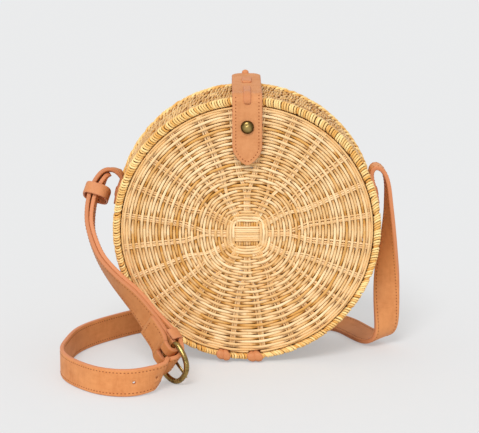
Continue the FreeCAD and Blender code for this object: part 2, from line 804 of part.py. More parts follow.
slot_half = PRONG_W / 2 + PRONG_SLOT_CLEAR
slot_reach = BAR_OFF + STRAP_T
fold_slot = box(
    bar_mid,
    buckle_axes,
    (-slot_half, -slot_reach, -slot_reach - LAYER_GAP / 4),
    (slot_half, slot_reach, slot_reach),
)
short_solid = short_solid.cut(fold_slot)

# Long strap: its tail lies on the short strap, then it passes the buckle and goes round behind the drum
TAIL_OFF = STRAP_T + LAYER_GAP
apex = 0
for k in range(main_end):
    if short_track[k][0].z > short_track[apex][0].z:
        apex = k
tail_points = []
tail_edges = []
total = length_of(short_track[: main_end + 2])
gone = 0.0
apex_gone = length_of(short_track[: apex + 1])
for k in range(main_end + 2):
    if k > 0:
        gone += (short_track[k][0] - short_track[k - 1][0]).Length
    if k >= apex and total - gone > 3.0:
        p, t, w, n = short_track[k]
        u = min(max((TAIL_LIFT_LENGTH - (total - gone)) / (TAIL_LIFT_LENGTH - 8.0), 0.0), 1.0)
        down = gone - apex_gone
        top = min(1.0, 0.1 + down / TAIL_TOP_RISE) * max(0.0, 1.0 - down / TAIL_TOP_LENGTH)
        lift = TAIL_OFF + TAIL_LIFT * u * u * (3 - 2 * u) + TAIL_TOP_GAP * top
        tail_points.insert(0, p - n * lift)
        tail_edges.insert(0, w)
tail_points.reverse()
tail_edges.reverse()
turn = BAR_OFF + TAIL_OFF
tail_points += [
    bar_mid + end_t * 2.0 - end_n * (turn + TAIL_LIFT * 0.2),
    bar_mid + end_t * 5.8 - end_n * (turn - 2.0),
    bar_mid + end_t * 8.2 - end_n * (turn - 6.2),
    bar_mid + end_t * 9.2 + end_n * 4.0,
    bar_mid + end_t * 9.0 + end_n * 11.0,
]
tail_edges += [end_w] * 5
floor_z = STRAP_W / 2 + 0.3
UP = V(0, 0, 1)
flat_z = STRAP_W / 2 * 0.25 + STRAP_T / 2 + 0.3
FLAT_EDGE = V(0.87, 0.42, 0.25)


def left_floor(out, y):
    """A point of the strap's middle where it stands on edge at the left."""
    return V(-BORDER_R - out * LAY, y * LAY, floor_z)


def behind(x, back, z):
    """A point of the strap's middle where it passes behind the drum."""
    return V(x * LAY, BACK_Y + back * LAY, z)


loop_points = [
    low_point(38.5, 69.5, floor_z + 3.6),
    low_point(31.0, 79.5, floor_z + 1.4),
    low_point(21.0, 84.6, floor_z + 0.2),
    low_point(8.5, 85.3, floor_z),
    low_point(-5.5, 80.0, floor_z),
    low_point(-20.5, 65.0, floor_z),
    low_point(-32.3, 46.5, floor_z),
    low_point(-37.2, 26.0, floor_z),
    low_point(-35.2, 3.0, floor_z),
    left_floor(29.6, -13.0),
    left_floor(17.5, 9.0),
    left_floor(2.5, 26.5),
    behind(-80.0, 6.8, floor_z),
    behind(-45.0, 15.5, floor_z),
    behind(-5.0, 20.0, floor_z),
]
loop_edges = [V(0.33, -0.3, 0.89), V(0.16, -0.12, 0.98), V(0.05, -0.03, 1)] + [UP] * 12
RIGHT = 1
right_points = [
    behind(35.0, 21.0, (floor_z + flat_z) / 2),
    behind(62.0, 19.0, flat_z),
    behind(78.0, 13.0, flat_z),
    floor_side(-10.5, 30.0, flat_z),
    floor_side(-2.0, 12.5, flat_z),
    floor_side(4.6, 4.2, flat_z * 1.4),
    floor_side(8.4, 1.6, FOLD_HEIGHT),
    floor_side(8.4, 0.8, FOLD_HEIGHT * 2.1),
    hang_side(8.0, 0.0, 0.366),
    hang_side(7.6, -1.5, 0.549),
    hang_side(8.1, -2.0, 0.721),
    hang_side(8.6, -3.0, 0.837),
    hang_side(8.7, -3.0, 0.952),
    side_point(RIGHT, 8.5, -3.0, 5.2),
    side_point(RIGHT, 8.0, -2.5, 14.6),
    side_point(RIGHT, 7.5, -2.0, 23.7),
    side_point(RIGHT, 6.4, -1.0, 31.2),
    side_point(RIGHT, 4.2, 0, 37.2),
    side_point(RIGHT, 0.5, 0, 40.8),
    side_point(RIGHT, -3.0, 0, 41.4),
    side_point(RIGHT, -5.3, 0, 38.2),
]
right_points += list(reversed(wall_points(1)))
right_edges = [
    V(0.2, 0.62, 0.75),
    V(0.5, 0.75, 0.45),
    V(0.8, 0.52, 0.3),
    FLAT_EDGE,
    FLAT_EDGE,
    V(0.93, 0.3, 0.2),
    V(0.99, 0.1, 0.1),
    V(1, 0, 0),
    V(1, 0, 0),
    V(0.93, -0.36, 0),
    V(0.68, -0.73, 0),
    V(0.47, -0.88, 0),
    V(0.32, -0.95, 0),
    V(0.21, -0.98, 0),
    V(0.12, -0.99, 0),
    V(0.06, -1, 0),
    V(0.02, -1, 0),
    FRONT_EDGE,
    FRONT_EDGE,
    FRONT_EDGE,
    FRONT_EDGE,
    FRONT_EDGE,
    FRONT_EDGE,
    FRONT_EDGE,
]
long_points = tail_points + loop_points + right_points
long_edges = tail_edges + loop_edges + right_edges
long_track = on_floor(frames(smooth_route(long_points, long_edges, STRAP_STEP)))
split = 0
for k, (p, t, w, n) in enumerate(long_track):
    if p.x < -BORDER_R - STRAP_W / 2 and p.z < STRAP_W and p.y < SWING_SPLIT_Y:
        split = k
hinge_p, hinge_t, hinge_w, hinge_n = long_track[split]
front_end = (hinge_p - hinge_t * (SWING_GAP / 2), hinge_t, hinge_w, hinge_n)
back_end = (hinge_p + hinge_t * (SWING_GAP / 2), hinge_t, hinge_w, hinge_n)
front_solid = ribbon(long_track[:split] + [front_end], STRAP_W, STRAP_T)
long_solid = ribbon([back_end] + long_track[split + 1 :], STRAP_W, STRAP_T)
outside = hinge_n if hinge_n.x < 0 else hinge_n * -1
swing_low = hinge_p + outside * (STRAP_T / 2 + SWING_GAP / 2) + V(0, 0, STRAP_W / 2)
for k in range(apex, main_end):
    if short_track[k][0].z > AXIS_Z + SWING_SPLIT_UP:
        before = k
upper = short_track[before][0]
lower = short_track[before + 1][0]
part_way = (upper.z - AXIS_Z - SWING_SPLIT_UP) / (upper.z - lower.z)
swing_high = upper + (lower - upper) * part_way - short_track[before][3] * (TAIL_OFF / 2)
swing_axis = swing_high - swing_low
swing_axis.normalize()
reach = BORDER_R * 4
plate_u = swing_axis.cross(V(0, 1, 0))
plate_u.normalize()
plate_v = swing_axis.cross(plate_u)
plate_axes = (plate_u, plate_v, swing_axis)
above = box(
    swing_high, plate_axes, (-reach, -reach, SWING_GAP / 2), (reach, reach, SWING_GAP / 2 + reach)
)
below = box(
    swing_high, plate_axes, (-reach, -reach, -SWING_GAP / 2 - reach), (reach, reach, -SWING_GAP / 2)
)
prong_slot = box(
    bar_mid,
    buckle_axes,
    (-slot_half, 2.5, -turn - STRAP_T),
    (slot_half, FRAME_DEPTH - FRAME_R - 2.0, 3.2),
)
nodes["strap_tail_top"] = front_solid.common(above)
nodes["strap_long_front"] = front_solid.common(below).cut(prong_slot)
print("short strap length", round(length_of(short_track) + length_of(fold_track), 1))
print("long strap length", round(length_of(long_track), 1))


# Lace stitches that hold the strap's ends to the wall
def end_stitch(side):
    """A flat lace staple through the strap and the wall, and the slots that its legs need."""
    a = math.radians(STITCH_ANGLE)
    out = V(side * math.cos(a), 0, math.sin(a))
    up = V(-side * math.sin(a), 0, math.cos(a))
    axes = (out, V(0, 1, 0), up)
    centre = V(0, 0, AXIS_Z)
    low = WALL_IN_R - STITCH_CLEAR * 2
    high = WALL_OUT_R + STRAP_SEAT + STRAP_T + STITCH_CLEAR
    full = box(
        centre,
        axes,
        (low - STITCH_T, -STITCH_W / 2, -STITCH_HALF),
        (high + STITCH_T, STITCH_W / 2, STITCH_HALF),
    )
    room = box(
        centre,
        axes,
        (low, -STITCH_W, -STITCH_HALF + STITCH_T),
        (high, STITCH_W, STITCH_HALF - STITCH_T),
    )
    slots = []
    for sign in (-1, 1):
        near_leg = sign * STITCH_HALF + STITCH_CLEAR * sign
        far_leg = sign * (STITCH_HALF - STITCH_T) - STITCH_CLEAR * sign
        slots.append(
            box(
                centre,
                axes,
                (WALL_IN_R - WALL_THICK, -STITCH_W / 2 - STITCH_CLEAR, min(near_leg, far_leg)),
                (BORDER_R + STRAP_T * 2, STITCH_W / 2 + STITCH_CLEAR, max(near_leg, far_leg)),
            )
        )
    return full.cut(room), slots


for side, name in ((-1, "strap_stitch_left"), (1, "strap_stitch_right")):
    stitch, slots = end_stitch(side)
    nodes[name] = stitch
    for slot in slots:
        wall = wall.cut(slot)
        if side < 0:
            short_solid = short_solid.cut(slot)
        else:
            long_solid = long_solid.cut(slot)
nodes["wall_weave"] = wall
nodes["strap_short_top"] = short_solid.common(above)
nodes["strap_short_low"] = short_solid.common(below)
nodes["strap_long_back"] = long_solid

# Sliding keeper: a round leather loop about both layers
gone = 0.0
spot = apex
while gone < KEEPER_DOWN:
    gone += (short_track[spot + 1][0] - short_track[spot][0]).Length
    spot += 1
kp, kt, kw, kn = short_track[spot]
stack_half = (2 * STRAP_T + LAYER_GAP) / 2
keeper_mid = kp - kn * (TAIL_OFF / 2 + KEEPER_SHIFT)
semi_w = STRAP_W / 2 + KEEPER_ROOM_W
semi_n = stack_half + KEEPER_ROOM_T


def loop_outline(centre, grow):
    """A rounded loop: a curve between an ellipse and a rectangle."""
    out = []
    for k in range(24):
        a = math.radians(360 * (k + 0.5) / 24)
        c = math.copysign(abs(math.cos(a)) ** (2 / 3), math.cos(a))
        s = math.copysign(abs(math.sin(a)) ** (2 / 3), math.sin(a))
        out.append(centre + kw * ((semi_w + grow) * c) + kn * ((semi_n + grow) * s))
    return out


keeper_start = keeper_mid - kt * (KEEPER_W / 2)
keeper_outer = prism(loop_outline(keeper_start, KEEPER_T), kt * KEEPER_W)
keeper_inner = prism(loop_outline(keeper_start - kt, 0), kt * (KEEPER_W + 2))
nodes["keeper_sliding"] = keeper_outer.cut(keeper_inner)

# Fixed keeper: a band round the tail, sewn to the short strap's edges beside the buckle
lp = end_p + end_t * (RUN_TO_BAR - LOOP_UP)
lt, lw, ln = end_t, end_w, end_n
loop_half = STRAP_W / 2 + LOOP_ROOM
loop_low = -(TAIL_OFF + TAIL_LIFT + STRAP_T / 2 + LOOP_ROOM)
loop_axes = (lw, ln, lt)
band = box(
    lp,
    loop_axes,
    (-loop_half - LOOP_T, loop_low - LOOP_T, -LOOP_W / 2),
    (loop_half + LOOP_T, STRAP_T / 2, LOOP_W / 2),
)
band_room = box(
    lp, loop_axes, (-loop_half, loop_low, -LOOP_W), (loop_half, STRAP_T * 4, LOOP_W)
)
nodes["keeper_fixed"] = band.cut(band_room)

# Buckle: a half-round frame on a straight bar, with a prong
frame_half = STRAP_W / 2 + FRAME_ROOM + FRAME_R
frame_path = []
for k in range(4):
    frame_path.append((-frame_half + 2 * frame_half * (k + 0.5) / 4, 0.0))
for k in range(25):
    a = math.radians(180 * k / 24)
    x = frame_half * math.copysign(abs(math.cos(a)) ** 0.8, math.cos(a))
    frame_path.append((x, FRAME_DEPTH * math.sin(a) ** 0.7))
sections = []
BAR_POINTS = 4
count = len(frame_path)
for k in range(count):
    x0, y0 = frame_path[k - 1]
    x1, y1 = frame_path[k]
    x2, y2 = frame_path[(k + 1) % count]
    d1 = math.hypot(x1 - x0, y1 - y0)
    d2 = math.hypot(x2 - x1, y2 - y1)
    tx = (x1 - x0) / d1 + (x2 - x1) / d2
    ty = (y1 - y0) / d1 + (y2 - y1) / d2
    size = math.hypot(tx, ty)
    widen = 2 / size
    side_dir = (end_w * ty - end_t * tx) * (1 / size)
    centre = bar_mid + end_w * x1 + end_t * y1
    tube = BAR_R if k < BAR_POINTS else FRAME_R
    section = []
    for i in range(8):
        a = math.radians(45 * i + 22.5)
        section.append(
            centre + side_dir * (tube * min(widen, 1.42) * math.cos(a)) + end_n * (tube * math.sin(a))
        )
    sections.append(section)
nodes["buckle_frame"] = skin(sections, True)
eye_in = BAR_R + PRONG_RUN_CLEAR
eye_out = eye_in + PRONG_EYE_T
prong_axis = bar_mid - end_w * (PRONG_W / 2)
eye = Part.makeCylinder(eye_out, PRONG_W, prong_axis, end_w)
rest = BAR_R + PRONG_RUN_CLEAR
rest_far = FRAME_R + PRONG_RUN_CLEAR
shank = prism(
    [
        prong_axis - end_n * (rest + PRONG_T),
        prong_axis - end_n * rest,
        prong_axis - end_n * rest_far + end_t * (FRAME_DEPTH + PRONG_TIP_PAST),
        prong_axis - end_n * (rest_far + PRONG_T * 0.6) + end_t * (FRAME_DEPTH + PRONG_TIP_PAST),
        prong_axis - end_n * (rest_far + PRONG_T) + end_t * (FRAME_DEPTH - 2.0),
    ],
    end_w * PRONG_W,
)
bore = Part.makeCylinder(eye_in, PRONG_W * 3, prong_axis - end_w * PRONG_W, end_w)
nodes["buckle_prong"] = eye.fuse(shank).cut(bore)


def told(v):
    """A point or direction as numbers to four places."""
    return [round(v.x, 4), round(v.y, 4), round(v.z, 4)]


print("lid hinge", told(V(0, HINGE_Y, HINGE_Z)))
print("tab hinge", told(V(0, TAB_FRONT_Y, ROOT_Z + TAB_CREASE / 2)))
print("swing at", told(swing_low), "along", told(swing_axis))
print("keeper at", told(keeper_mid), "along", told(kt))
print("bar at", told(bar_mid), "along", told(end_w), "strap", told(end_t), "face", told(end_n))
print("axis height", round(AXIS_Z, 4), "back radius", round(BACK_R, 4))

for name, shape in nodes.items():
    shape.exportStep("parts/" + name + ".step")
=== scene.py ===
import math

import bpy
import numpy as np
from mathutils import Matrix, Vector


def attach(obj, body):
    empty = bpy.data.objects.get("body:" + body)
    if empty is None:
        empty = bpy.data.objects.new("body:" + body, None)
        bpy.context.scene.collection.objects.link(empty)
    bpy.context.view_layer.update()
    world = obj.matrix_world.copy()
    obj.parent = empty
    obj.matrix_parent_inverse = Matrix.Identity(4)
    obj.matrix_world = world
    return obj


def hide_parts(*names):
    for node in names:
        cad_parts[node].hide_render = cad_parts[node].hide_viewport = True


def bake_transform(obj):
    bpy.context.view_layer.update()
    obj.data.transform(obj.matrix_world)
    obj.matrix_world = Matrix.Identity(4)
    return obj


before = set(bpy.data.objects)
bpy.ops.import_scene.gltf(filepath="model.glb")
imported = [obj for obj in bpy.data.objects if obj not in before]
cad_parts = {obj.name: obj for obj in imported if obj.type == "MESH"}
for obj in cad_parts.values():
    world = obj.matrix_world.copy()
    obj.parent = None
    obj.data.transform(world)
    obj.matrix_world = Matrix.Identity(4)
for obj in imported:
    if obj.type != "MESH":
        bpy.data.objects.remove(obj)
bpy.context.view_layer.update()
rng = np.random.default_rng(7)

# Sizes in millimetres: X to the right, Y away from the front, Z up, floor at Z = 0
MM = 0.001
BORDER_R = 100.0
BORDER_WIDTH = 6.8
BORDER_DEPTH = 7.6
FRONT_Y = -40.5
BACK_Y = 40.5
AXIS_Z = 102.058
BACK_R = 101.25
BACK_SINK = 0.8
LID_SINK = 1.0
LID_Y = -37.88
PANEL_Y = 37.88
CROSS_DROP = 3.1
WALL_R = 97.0
TAB_W = 22.0
TAB_T = 2.2
TAB_BACK_Y = -42.6
TAB_MID_Y = TAB_BACK_Y - TAB_T / 2
ROOT_Z = 197.258
TAB_LENGTH = 45.4
TAB_TIP = 14.5
TAB_BOW = 4.2
SNAP_Z = 180.258
STRAP_W = 20.0
STRAP_T = 3.1
STRAP_CORNER = 0.8
LAYER_GAP = 0.5
BAR_R = 1.6
BAR_CLEAR = 0.35
RUN_TO_BAR = 12.0
BUCKLE_HEIGHT = 29.6
FRAME_DEPTH = 21.5
FRAME_R = 2.0
FRAME_ROOM = 2.2

# Points in a band's outline: on each long face, on each corner, and the middles of the two faces
FLATS = 5
ARC = 4
BAND_POINTS = 4 * ARC + 2 * FLATS
TOP_MID = ARC + FLATS // 2
LOW_MID = 3 * ARC + FLATS + FLATS // 2
EDGE_IN = 0.75
EDGE_FADE = 0.4

UP = np.array([0.0, 0.0, 1.0])
ACROSS_X = np.array([1.0, 0.0, 0.0])
BACKWARD = np.array([0.0, 1.0, 0.0])
FORWARD = -BACKWARD


# Curves and directions
def unit(v):
    """Each vector divided by its own length."""
    return v / np.maximum(np.linalg.norm(v, axis=-1, keepdims=True), 1e-9)


def angles(count):
    """Even angles once round."""
    return 2 * np.pi * np.arange(count) / count


def smooth(u):
    """A rise from none to one that starts and ends level: three squares less two cubes."""
    return u * u * (3 - 2 * u)


def squared(wave, power):
    """A wave with its size raised to a power and its sign kept, which squares it off."""
    return np.sign(wave) * np.abs(wave) ** power


def round_axis(r, angle, y, sink=0.0):
    """Points at a radius and an angle round the drum's axis, or round a line that far below it."""
    parts = np.broadcast_arrays(r * np.cos(angle), y, AXIS_Z - sink + r * np.sin(angle))
    return np.stack(parts, axis=-1)


def outward(angle):
    """The direction away from the drum's axis at an angle."""
    return np.stack([np.cos(angle), np.zeros_like(angle), np.sin(angle)], axis=-1)


def headings(paths, closed):
    """The direction of a path at each point: the next point less the one before."""
    if closed:
        return unit(np.roll(paths, -1, axis=-2) - np.roll(paths, 1, axis=-2))
    return unit(np.gradient(paths, axis=-2))


def lengths(line):
    """The length along a line up to each of its points."""
    return np.concatenate([[0.0], np.cumsum(np.linalg.norm(np.diff(line, axis=0), axis=1))])


def nearest(line, place):
    """The number of the point of a line that is nearest to a place."""
    return int(np.argmin(np.linalg.norm(line - np.array(place), axis=1)))


def read_along(at, s, values):
    """Vectors known at some lengths along a line, read at others."""
    return np.stack([np.interp(at, s, values[:, k]) for k in range(3)], axis=-1)


# Building meshes: a shell is its points, faces, UV and tones, and for leather also an edge mask
def round_outline(width, thick, sides, power=1.0):
    """A closed outline: cosine and sine of an angle, each squared off by a power, times half the size."""
    a = 2 * np.pi * (np.arange(sides) + 0.5) / sides
    x = squared(np.cos(a), power)
    y = squared(np.sin(a), power)
    return np.stack([x * width / 2, y * thick / 2], axis=-1)


def band_outline(width, thick, corner, flats=FLATS):
    """A flat band's outline: two long faces joined by four quarter arcs, counterclockwise."""
    hx = width / 2 - corner
    hy = thick / 2 - corner
    face = np.linspace(-hx, hx, flats + 2)[1:-1]
    a = np.linspace(0, np.pi / 2, ARC)
    sides = []
    for k, (cx, cy) in enumerate(((hx, hy), (-hx, hy), (-hx, -hy), (hx, -hy))):
        turn = a + k * np.pi / 2
        sides.append(np.stack([cx + corner * np.cos(turn), cy + corner * np.sin(turn)], axis=-1))
        if k % 2 == 0:
            side = 1 - k
            sides.append(np.stack([face[::-side], np.full(flats, side * thick / 2)], axis=-1))
    return np.concatenate(sides)


def carry(paths, across, depth, outline, closed=False, tone=0.5):
    """Carries an outline along paths: each point is the path's point plus the outline's first number times
    the across direction plus its second number times the depth direction. Open ends get a flat cap."""
    paths = np.asarray(paths, float)
    if paths.ndim == 2:
        paths = paths[None]
    count, n, _ = paths.shape
    m = outline.shape[-2]
    across = np.broadcast_to(across, paths.shape)[:, :, None, :]
    depth = np.broadcast_to(depth, paths.shape)[:, :, None, :]
    shape = np.broadcast_to(outline, (count, n, m, 2))
    points = paths[:, :, None, :] + across * shape[..., 0:1] + depth * shape[..., 1:2]
    runs = n if closed else n - 1
    steps = np.linalg.norm(np.roll(paths, -1, axis=1) - paths, axis=-1)
    along = np.concatenate([np.zeros((count, 1)), np.cumsum(steps, axis=1)], axis=1)
    middle = shape[0, n // 2]
    around = np.linalg.norm(np.roll(middle, -1, axis=0) - middle, axis=-1)
    around = np.concatenate([[0.0], np.cumsum(around)])
    base = (np.arange(count) * n * m)[:, None, None]
    i = np.arange(runs)[None, :, None]
    j = np.arange(m)
    i2 = (i + 1) % n
    j2 = (j + 1) % m
    corners = [base + i * m + j, base + i * m + j2, base + i2 * m + j2, base + i2 * m + j]
    faces = np.stack(corners, axis=-1).reshape(-1, 4).tolist()
    grid = (count, runs, m)
    u0, u1 = (np.broadcast_to(along[:, k : runs + k, None], grid) for k in (0, 1))
    v0, v1 = (np.broadcast_to(around[k : m + k], grid) for k in (0, 1))
    pairs = [np.stack(pair, axis=-1) for pair in ((u0, v0), (u0, v1), (u1, v1), (u1, v0))]
    uv = np.stack(pairs, axis=-2).reshape(-1, 2)
    if not closed:
        first = base[:, :, 0] + j[::-1]
        last = base[:, :, 0] + (n - 1) * m + j
        faces = faces + first.tolist() + last.tolist()
        uv = np.concatenate([uv, shape[:, 0, ::-1].reshape(-1, 2), shape[:, -1].reshape(-1, 2)])
    rows = tone if np.ndim(tone) == 2 else np.reshape(tone, (-1, 1))
    tones = np.repeat(np.broadcast_to(rows, (count, n)).reshape(-1), m)
    return points.reshape(-1, 3), faces, uv, tones


def strands(paths, depth, width, thick, sides, closed=False, tone=0.5, power=1.0, ends=None):
    """Canes: a round outline carried along paths, its across direction square to path and depth hint."""
    paths = np.asarray(paths, float)
    t = headings(paths, closed)
    a = unit(np.cross(np.broadcast_to(depth, paths.shape), t))
    outline = round_outline(width, thick, sides, power)
    if ends is not None:
        outline = outline[None, None] * np.reshape(ends, (1, -1, 1, 1))
    return carry(paths, a, np.cross(t, a), outline, closed, tone)


def edge_mask(outline, width, count):
    """One on the narrow sides of a band, none on its faces, for each point along it."""
    mask = np.clip((np.abs(outline[..., 0]) - (width / 2 - EDGE_IN)) / EDGE_FADE, 0, 1)
    return np.tile(mask, count)


def strip(line, across, normal, size, closed=False, narrow=1.0, flats=FLATS, crown=0.0):
    """A leather band carried along a line. Its size is width, thickness and corner; narrow is its share of
    that width at each point, and the crown bends its two edges down by a square of the way across."""
    width, thick, corner = size
    outline = band_outline(width, thick, corner, flats)
    outline[:, 1] -= crown * (2 * outline[:, 0] / width) ** 2
    count = len(line)
    share = np.stack([np.broadcast_to(narrow, (count,)), np.ones(count)], axis=-1)
    shell = carry(line, across, normal, (outline[None] * share[:, None, :])[None], closed)
    return (*shell, edge_mask(outline, width, count))


def together(shells):
    """Several shells as one: their points, faces, UV, tones and edges set end to end."""
    starts = np.cumsum([0] + [len(shell[0]) for shell in shells]).tolist()
    points, faces, uv, *values = zip(*shells)
    moved = [[k + start for k in face] for part, start in zip(faces, starts) for face in part]
    return (np.concatenate(points), moved, np.concatenate(uv), *(np.concatenate(x) for x in values))


def show(name, data):
    """A new object in the scene."""
    obj = bpy.data.objects.new(name, data)
    bpy.context.scene.collection.objects.link(obj)
    return obj


def piece(name, shell, material, hides=(), body=None):
    """A mesh object in metres from a shell in millimetres, with its UV map, tones and edge mask."""
    points, faces, uv, *values = shell
    mesh = bpy.data.meshes.new(name)
    mesh.from_pydata((points * MM).tolist(), [], faces)
    layer = mesh.uv_layers.new(name="lay")
    layer.data.foreach_set("uv", (uv * MM).astype(np.float32).reshape(-1))
    for label, numbers in zip(("tone", "edge"), values):
        attribute = mesh.attributes.new(label, "FLOAT", "POINT")
        attribute.data.foreach_set("value", numbers.astype(np.float32))
    mesh.polygons.foreach_set("use_smooth", np.ones(len(mesh.polygons), bool))
    mesh.materials.append(material)
    mesh.validate()
    obj = show(name, mesh)
    if body:
        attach(obj, body)
    if hides:
        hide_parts(*hides)
    return obj


def wander(count, n, size, turns):
    """A smooth small wobble round a closed row: a few sines with seeded phases."""
    a = angles(n)
    out = np.zeros((count, n))
    for k in turns:
        out += rng.uniform(0.3, 1.0, (count, 1)) * np.sin(k * a + rng.uniform(0, 6.28, (count, 1)))
    return out * size / len(turns)


def cane_tones(count, n, pieces, spread):
    """Tone along closed rows: each row is a chain of canes, and each cane has its own seeded tone."""
    place = np.arange(n)[None, :] / n + rng.uniform(0, 1, (count, 1))
    number = np.floor(place * pieces).astype(int) % pieces
    tones = rng.normal(0.5, spread, (count, pieces))
    return np.take_along_axis(tones, number, axis=1)


# Shader nodes
def srgb(r, g, b):
    """A colour as light from its screen numbers."""
    c = np.array([r, g, b]) / 255
    low = c / 12.92
    high = ((c + 0.055) / 1.055) ** 2.4
    return (*np.where(c <= 0.04045, low, high).tolist(), 1.0)


def add(tree, kind, **values):
    """A node with its settings; names that are sockets set the socket."""
    node = tree.nodes.new(kind)
    for key, value in values.items():
        if hasattr(node, key):
            setattr(node, key, value)
        else:
            node.inputs[key].default_value = value
    return node


def feed(tree, sockets, values):
    """Links each socket to a given socket, or sets it to a given value."""
    for socket, value in zip(sockets, values):
        if isinstance(value, bpy.types.NodeSocket):
            tree.links.new(value, socket)
        else:
            socket.default_value = value


def math_node(tree, operation, *values):
    """A Math node fed by sockets or numbers."""
    node = add(tree, "ShaderNodeMath", operation=operation)
    feed(tree, node.inputs, values)
    return node.outputs[0]


def weighted(tree, start, *terms):
    """A sum: a start plus each value times its weight."""
    for value, weight in terms:
        start = math_node(tree, "MULTIPLY_ADD", value, weight, start)
    return start


def clamped(tree, start, *terms):
    """A weighted sum kept between none and one."""
    node = tree.nodes.new("ShaderNodeClamp")
    tree.links.new(weighted(tree, start, *terms), node.inputs[0])
    return node.outputs[0]


def mix_colour(tree, factor, a, b):
    """A colour Mix node fed by sockets."""
    node = add(tree, "ShaderNodeMix", data_type="RGBA")
    feed(tree, (node.inputs[0], node.inputs[6], node.inputs[7]), (factor, a, b))
    return node.outputs[2]


def mix_shader(tree, factor, first, second, target):
    """Two shaders mixed by a factor, into the target's surface."""
    node = tree.nodes.new("ShaderNodeMixShader")
    feed(tree, node.inputs, (factor, first.outputs[0], second.outputs[0]))
    tree.links.new(node.outputs[0], target.inputs["Surface"])


def noise(tree, place, scale, detail, roughness=0.5, stretch=None):
    """The value of a noise texture at a place, which may be stretched first."""
    if stretch:
        mapping = add(tree, "ShaderNodeMapping", Scale=stretch)
        tree.links.new(place, mapping.inputs["Vector"])
        place = mapping.outputs[0]
    node = add(tree, "ShaderNodeTexNoise", Scale=scale, Detail=detail, Roughness=roughness)
    tree.links.new(place, node.inputs["Vector"])
    return node.outputs[0]


def new_group(name, place, share, colours):
    """A shader node group: a place, a share and colours go in; colour, roughness and height come out."""
    group = bpy.data.node_groups.new(name, "ShaderNodeTree")
    given = [(place, "Vector"), (share, "Float")] + [(label, "Color") for label in colours]
    made = [("Color", "Color"), ("Roughness", "Float"), ("Height", "Float")]
    for way, sockets in (("INPUT", given), ("OUTPUT", made)):
        for label, kind in sockets:
            group.interface.new_socket(label, in_out=way, socket_type="NodeSocket" + kind)
    return group, group.nodes.new("NodeGroupInput").outputs, group.nodes.new("NodeGroupOutput").inputs


def cane_group():
    """Fibres run along a cane as stretched noise; its tone, slow stains and the fibres, each times its
    weight, mix pale and deep colour."""
    group, given, out = new_group("Cane fibre", "Lay", "Tone", ("Pale", "Deep"))
    shift = group.nodes.new("ShaderNodeCombineXYZ")
    group.links.new(math_node(group, "MULTIPLY", given["Tone"], 0.9), shift.inputs[2])
    moved = add(group, "ShaderNodeVectorMath", operation="ADD")
    feed(group, moved.inputs, (given["Lay"], shift.outputs[0]))
    place = moved.outputs[0]
    fibre = noise(group, place, 1.0, 3.0, 0.6, stretch=(90.0, 1400.0, 60.0))
    stain = noise(group, place, 1.0, 2.0, 0.5, stretch=(38.0, 60.0, 25.0))
    amount = clamped(group, -0.8, (given["Tone"], 1.5), (stain, 0.75), (fibre, 0.35))
    colour = mix_colour(group, amount, given["Pale"], given["Deep"])
    feed(group, out, (colour, weighted(group, 0.3, (stain, 0.3)), fibre))
    return group


def leather_group():
    """Leather: fine cells and creases for the grain; slow, cloudy and streaky noise, each times its weight,
    mottle the face; the edge mask mixes in a painted colour and flattens the grain."""
    group, given, out = new_group("Leather grain", "Lay", "Edge", ("Face", "Shade", "Paint"))
    lay = given["Lay"]
    cells = add(group, "ShaderNodeTexVoronoi", Scale=900.0)
    group.links.new(lay, cells.inputs["Vector"])
    fine = noise(group, lay, 1500.0, 3.0)
    slow = noise(group, lay, 45.0, 4.0, 0.6)
    streak = noise(group, lay, 1.0, 3.0, stretch=(40.0, 420.0, 1.0))
    cloud = noise(group, lay, 210.0, 3.0, 0.55)
    fold = noise(group, lay, 1.0, 2.0, stretch=(190.0, 34.0, 1.0))
    ridge = math_node(group, "ABSOLUTE", math_node(group, "SUBTRACT", fold, 0.5))
    crease = clamped(group, 1.0, (ridge, -16.0))
    patch = clamped(group, -2.9, (slow, 6.0))
    wrinkle = math_node(group, "MULTIPLY", crease, patch)
    terms = ((slow, 1.3), (cloud, 1.0), (wrinkle, 0.25), (streak, 0.5), (fine, 0.5))
    face = mix_colour(group, clamped(group, -1.48, *terms), given["Face"], given["Shade"])
    colour = mix_colour(group, given["Edge"], face, given["Paint"])
    height = weighted(group, cells.outputs["Distance"], (fine, 0.6), (wrinkle, -1.2))
    still = weighted(group, 1.0, (given["Edge"], -0.8))
    height = math_node(group, "MULTIPLY", height, still)
    feed(group, out, (colour, weighted(group, 0.42, (slow, 0.25)), height))
    return group


def brass_group():
    """Antique brass: dark patina where slow noise is high, and painted shade where the shade and wear value
    is high, as at the snap dome's rim; bright metal elsewhere, fine scratches."""
    group, given, out = new_group("Brass patina", "Place", "Shade and wear", ("Bright", "Dark"))
    slow = noise(group, given["Place"], 260.0, 4.0, 0.65)
    fine = noise(group, given["Place"], 2600.0, 3.0)
    patina = clamped(group, -0.6, (slow, 1.8), (given["Shade and wear"], 1.0))
    colour = mix_colour(group, patina, given["Bright"], given["Dark"])
    feed(group, out, (colour, weighted(group, 0.2, (patina, 0.16)), fine))
    return group


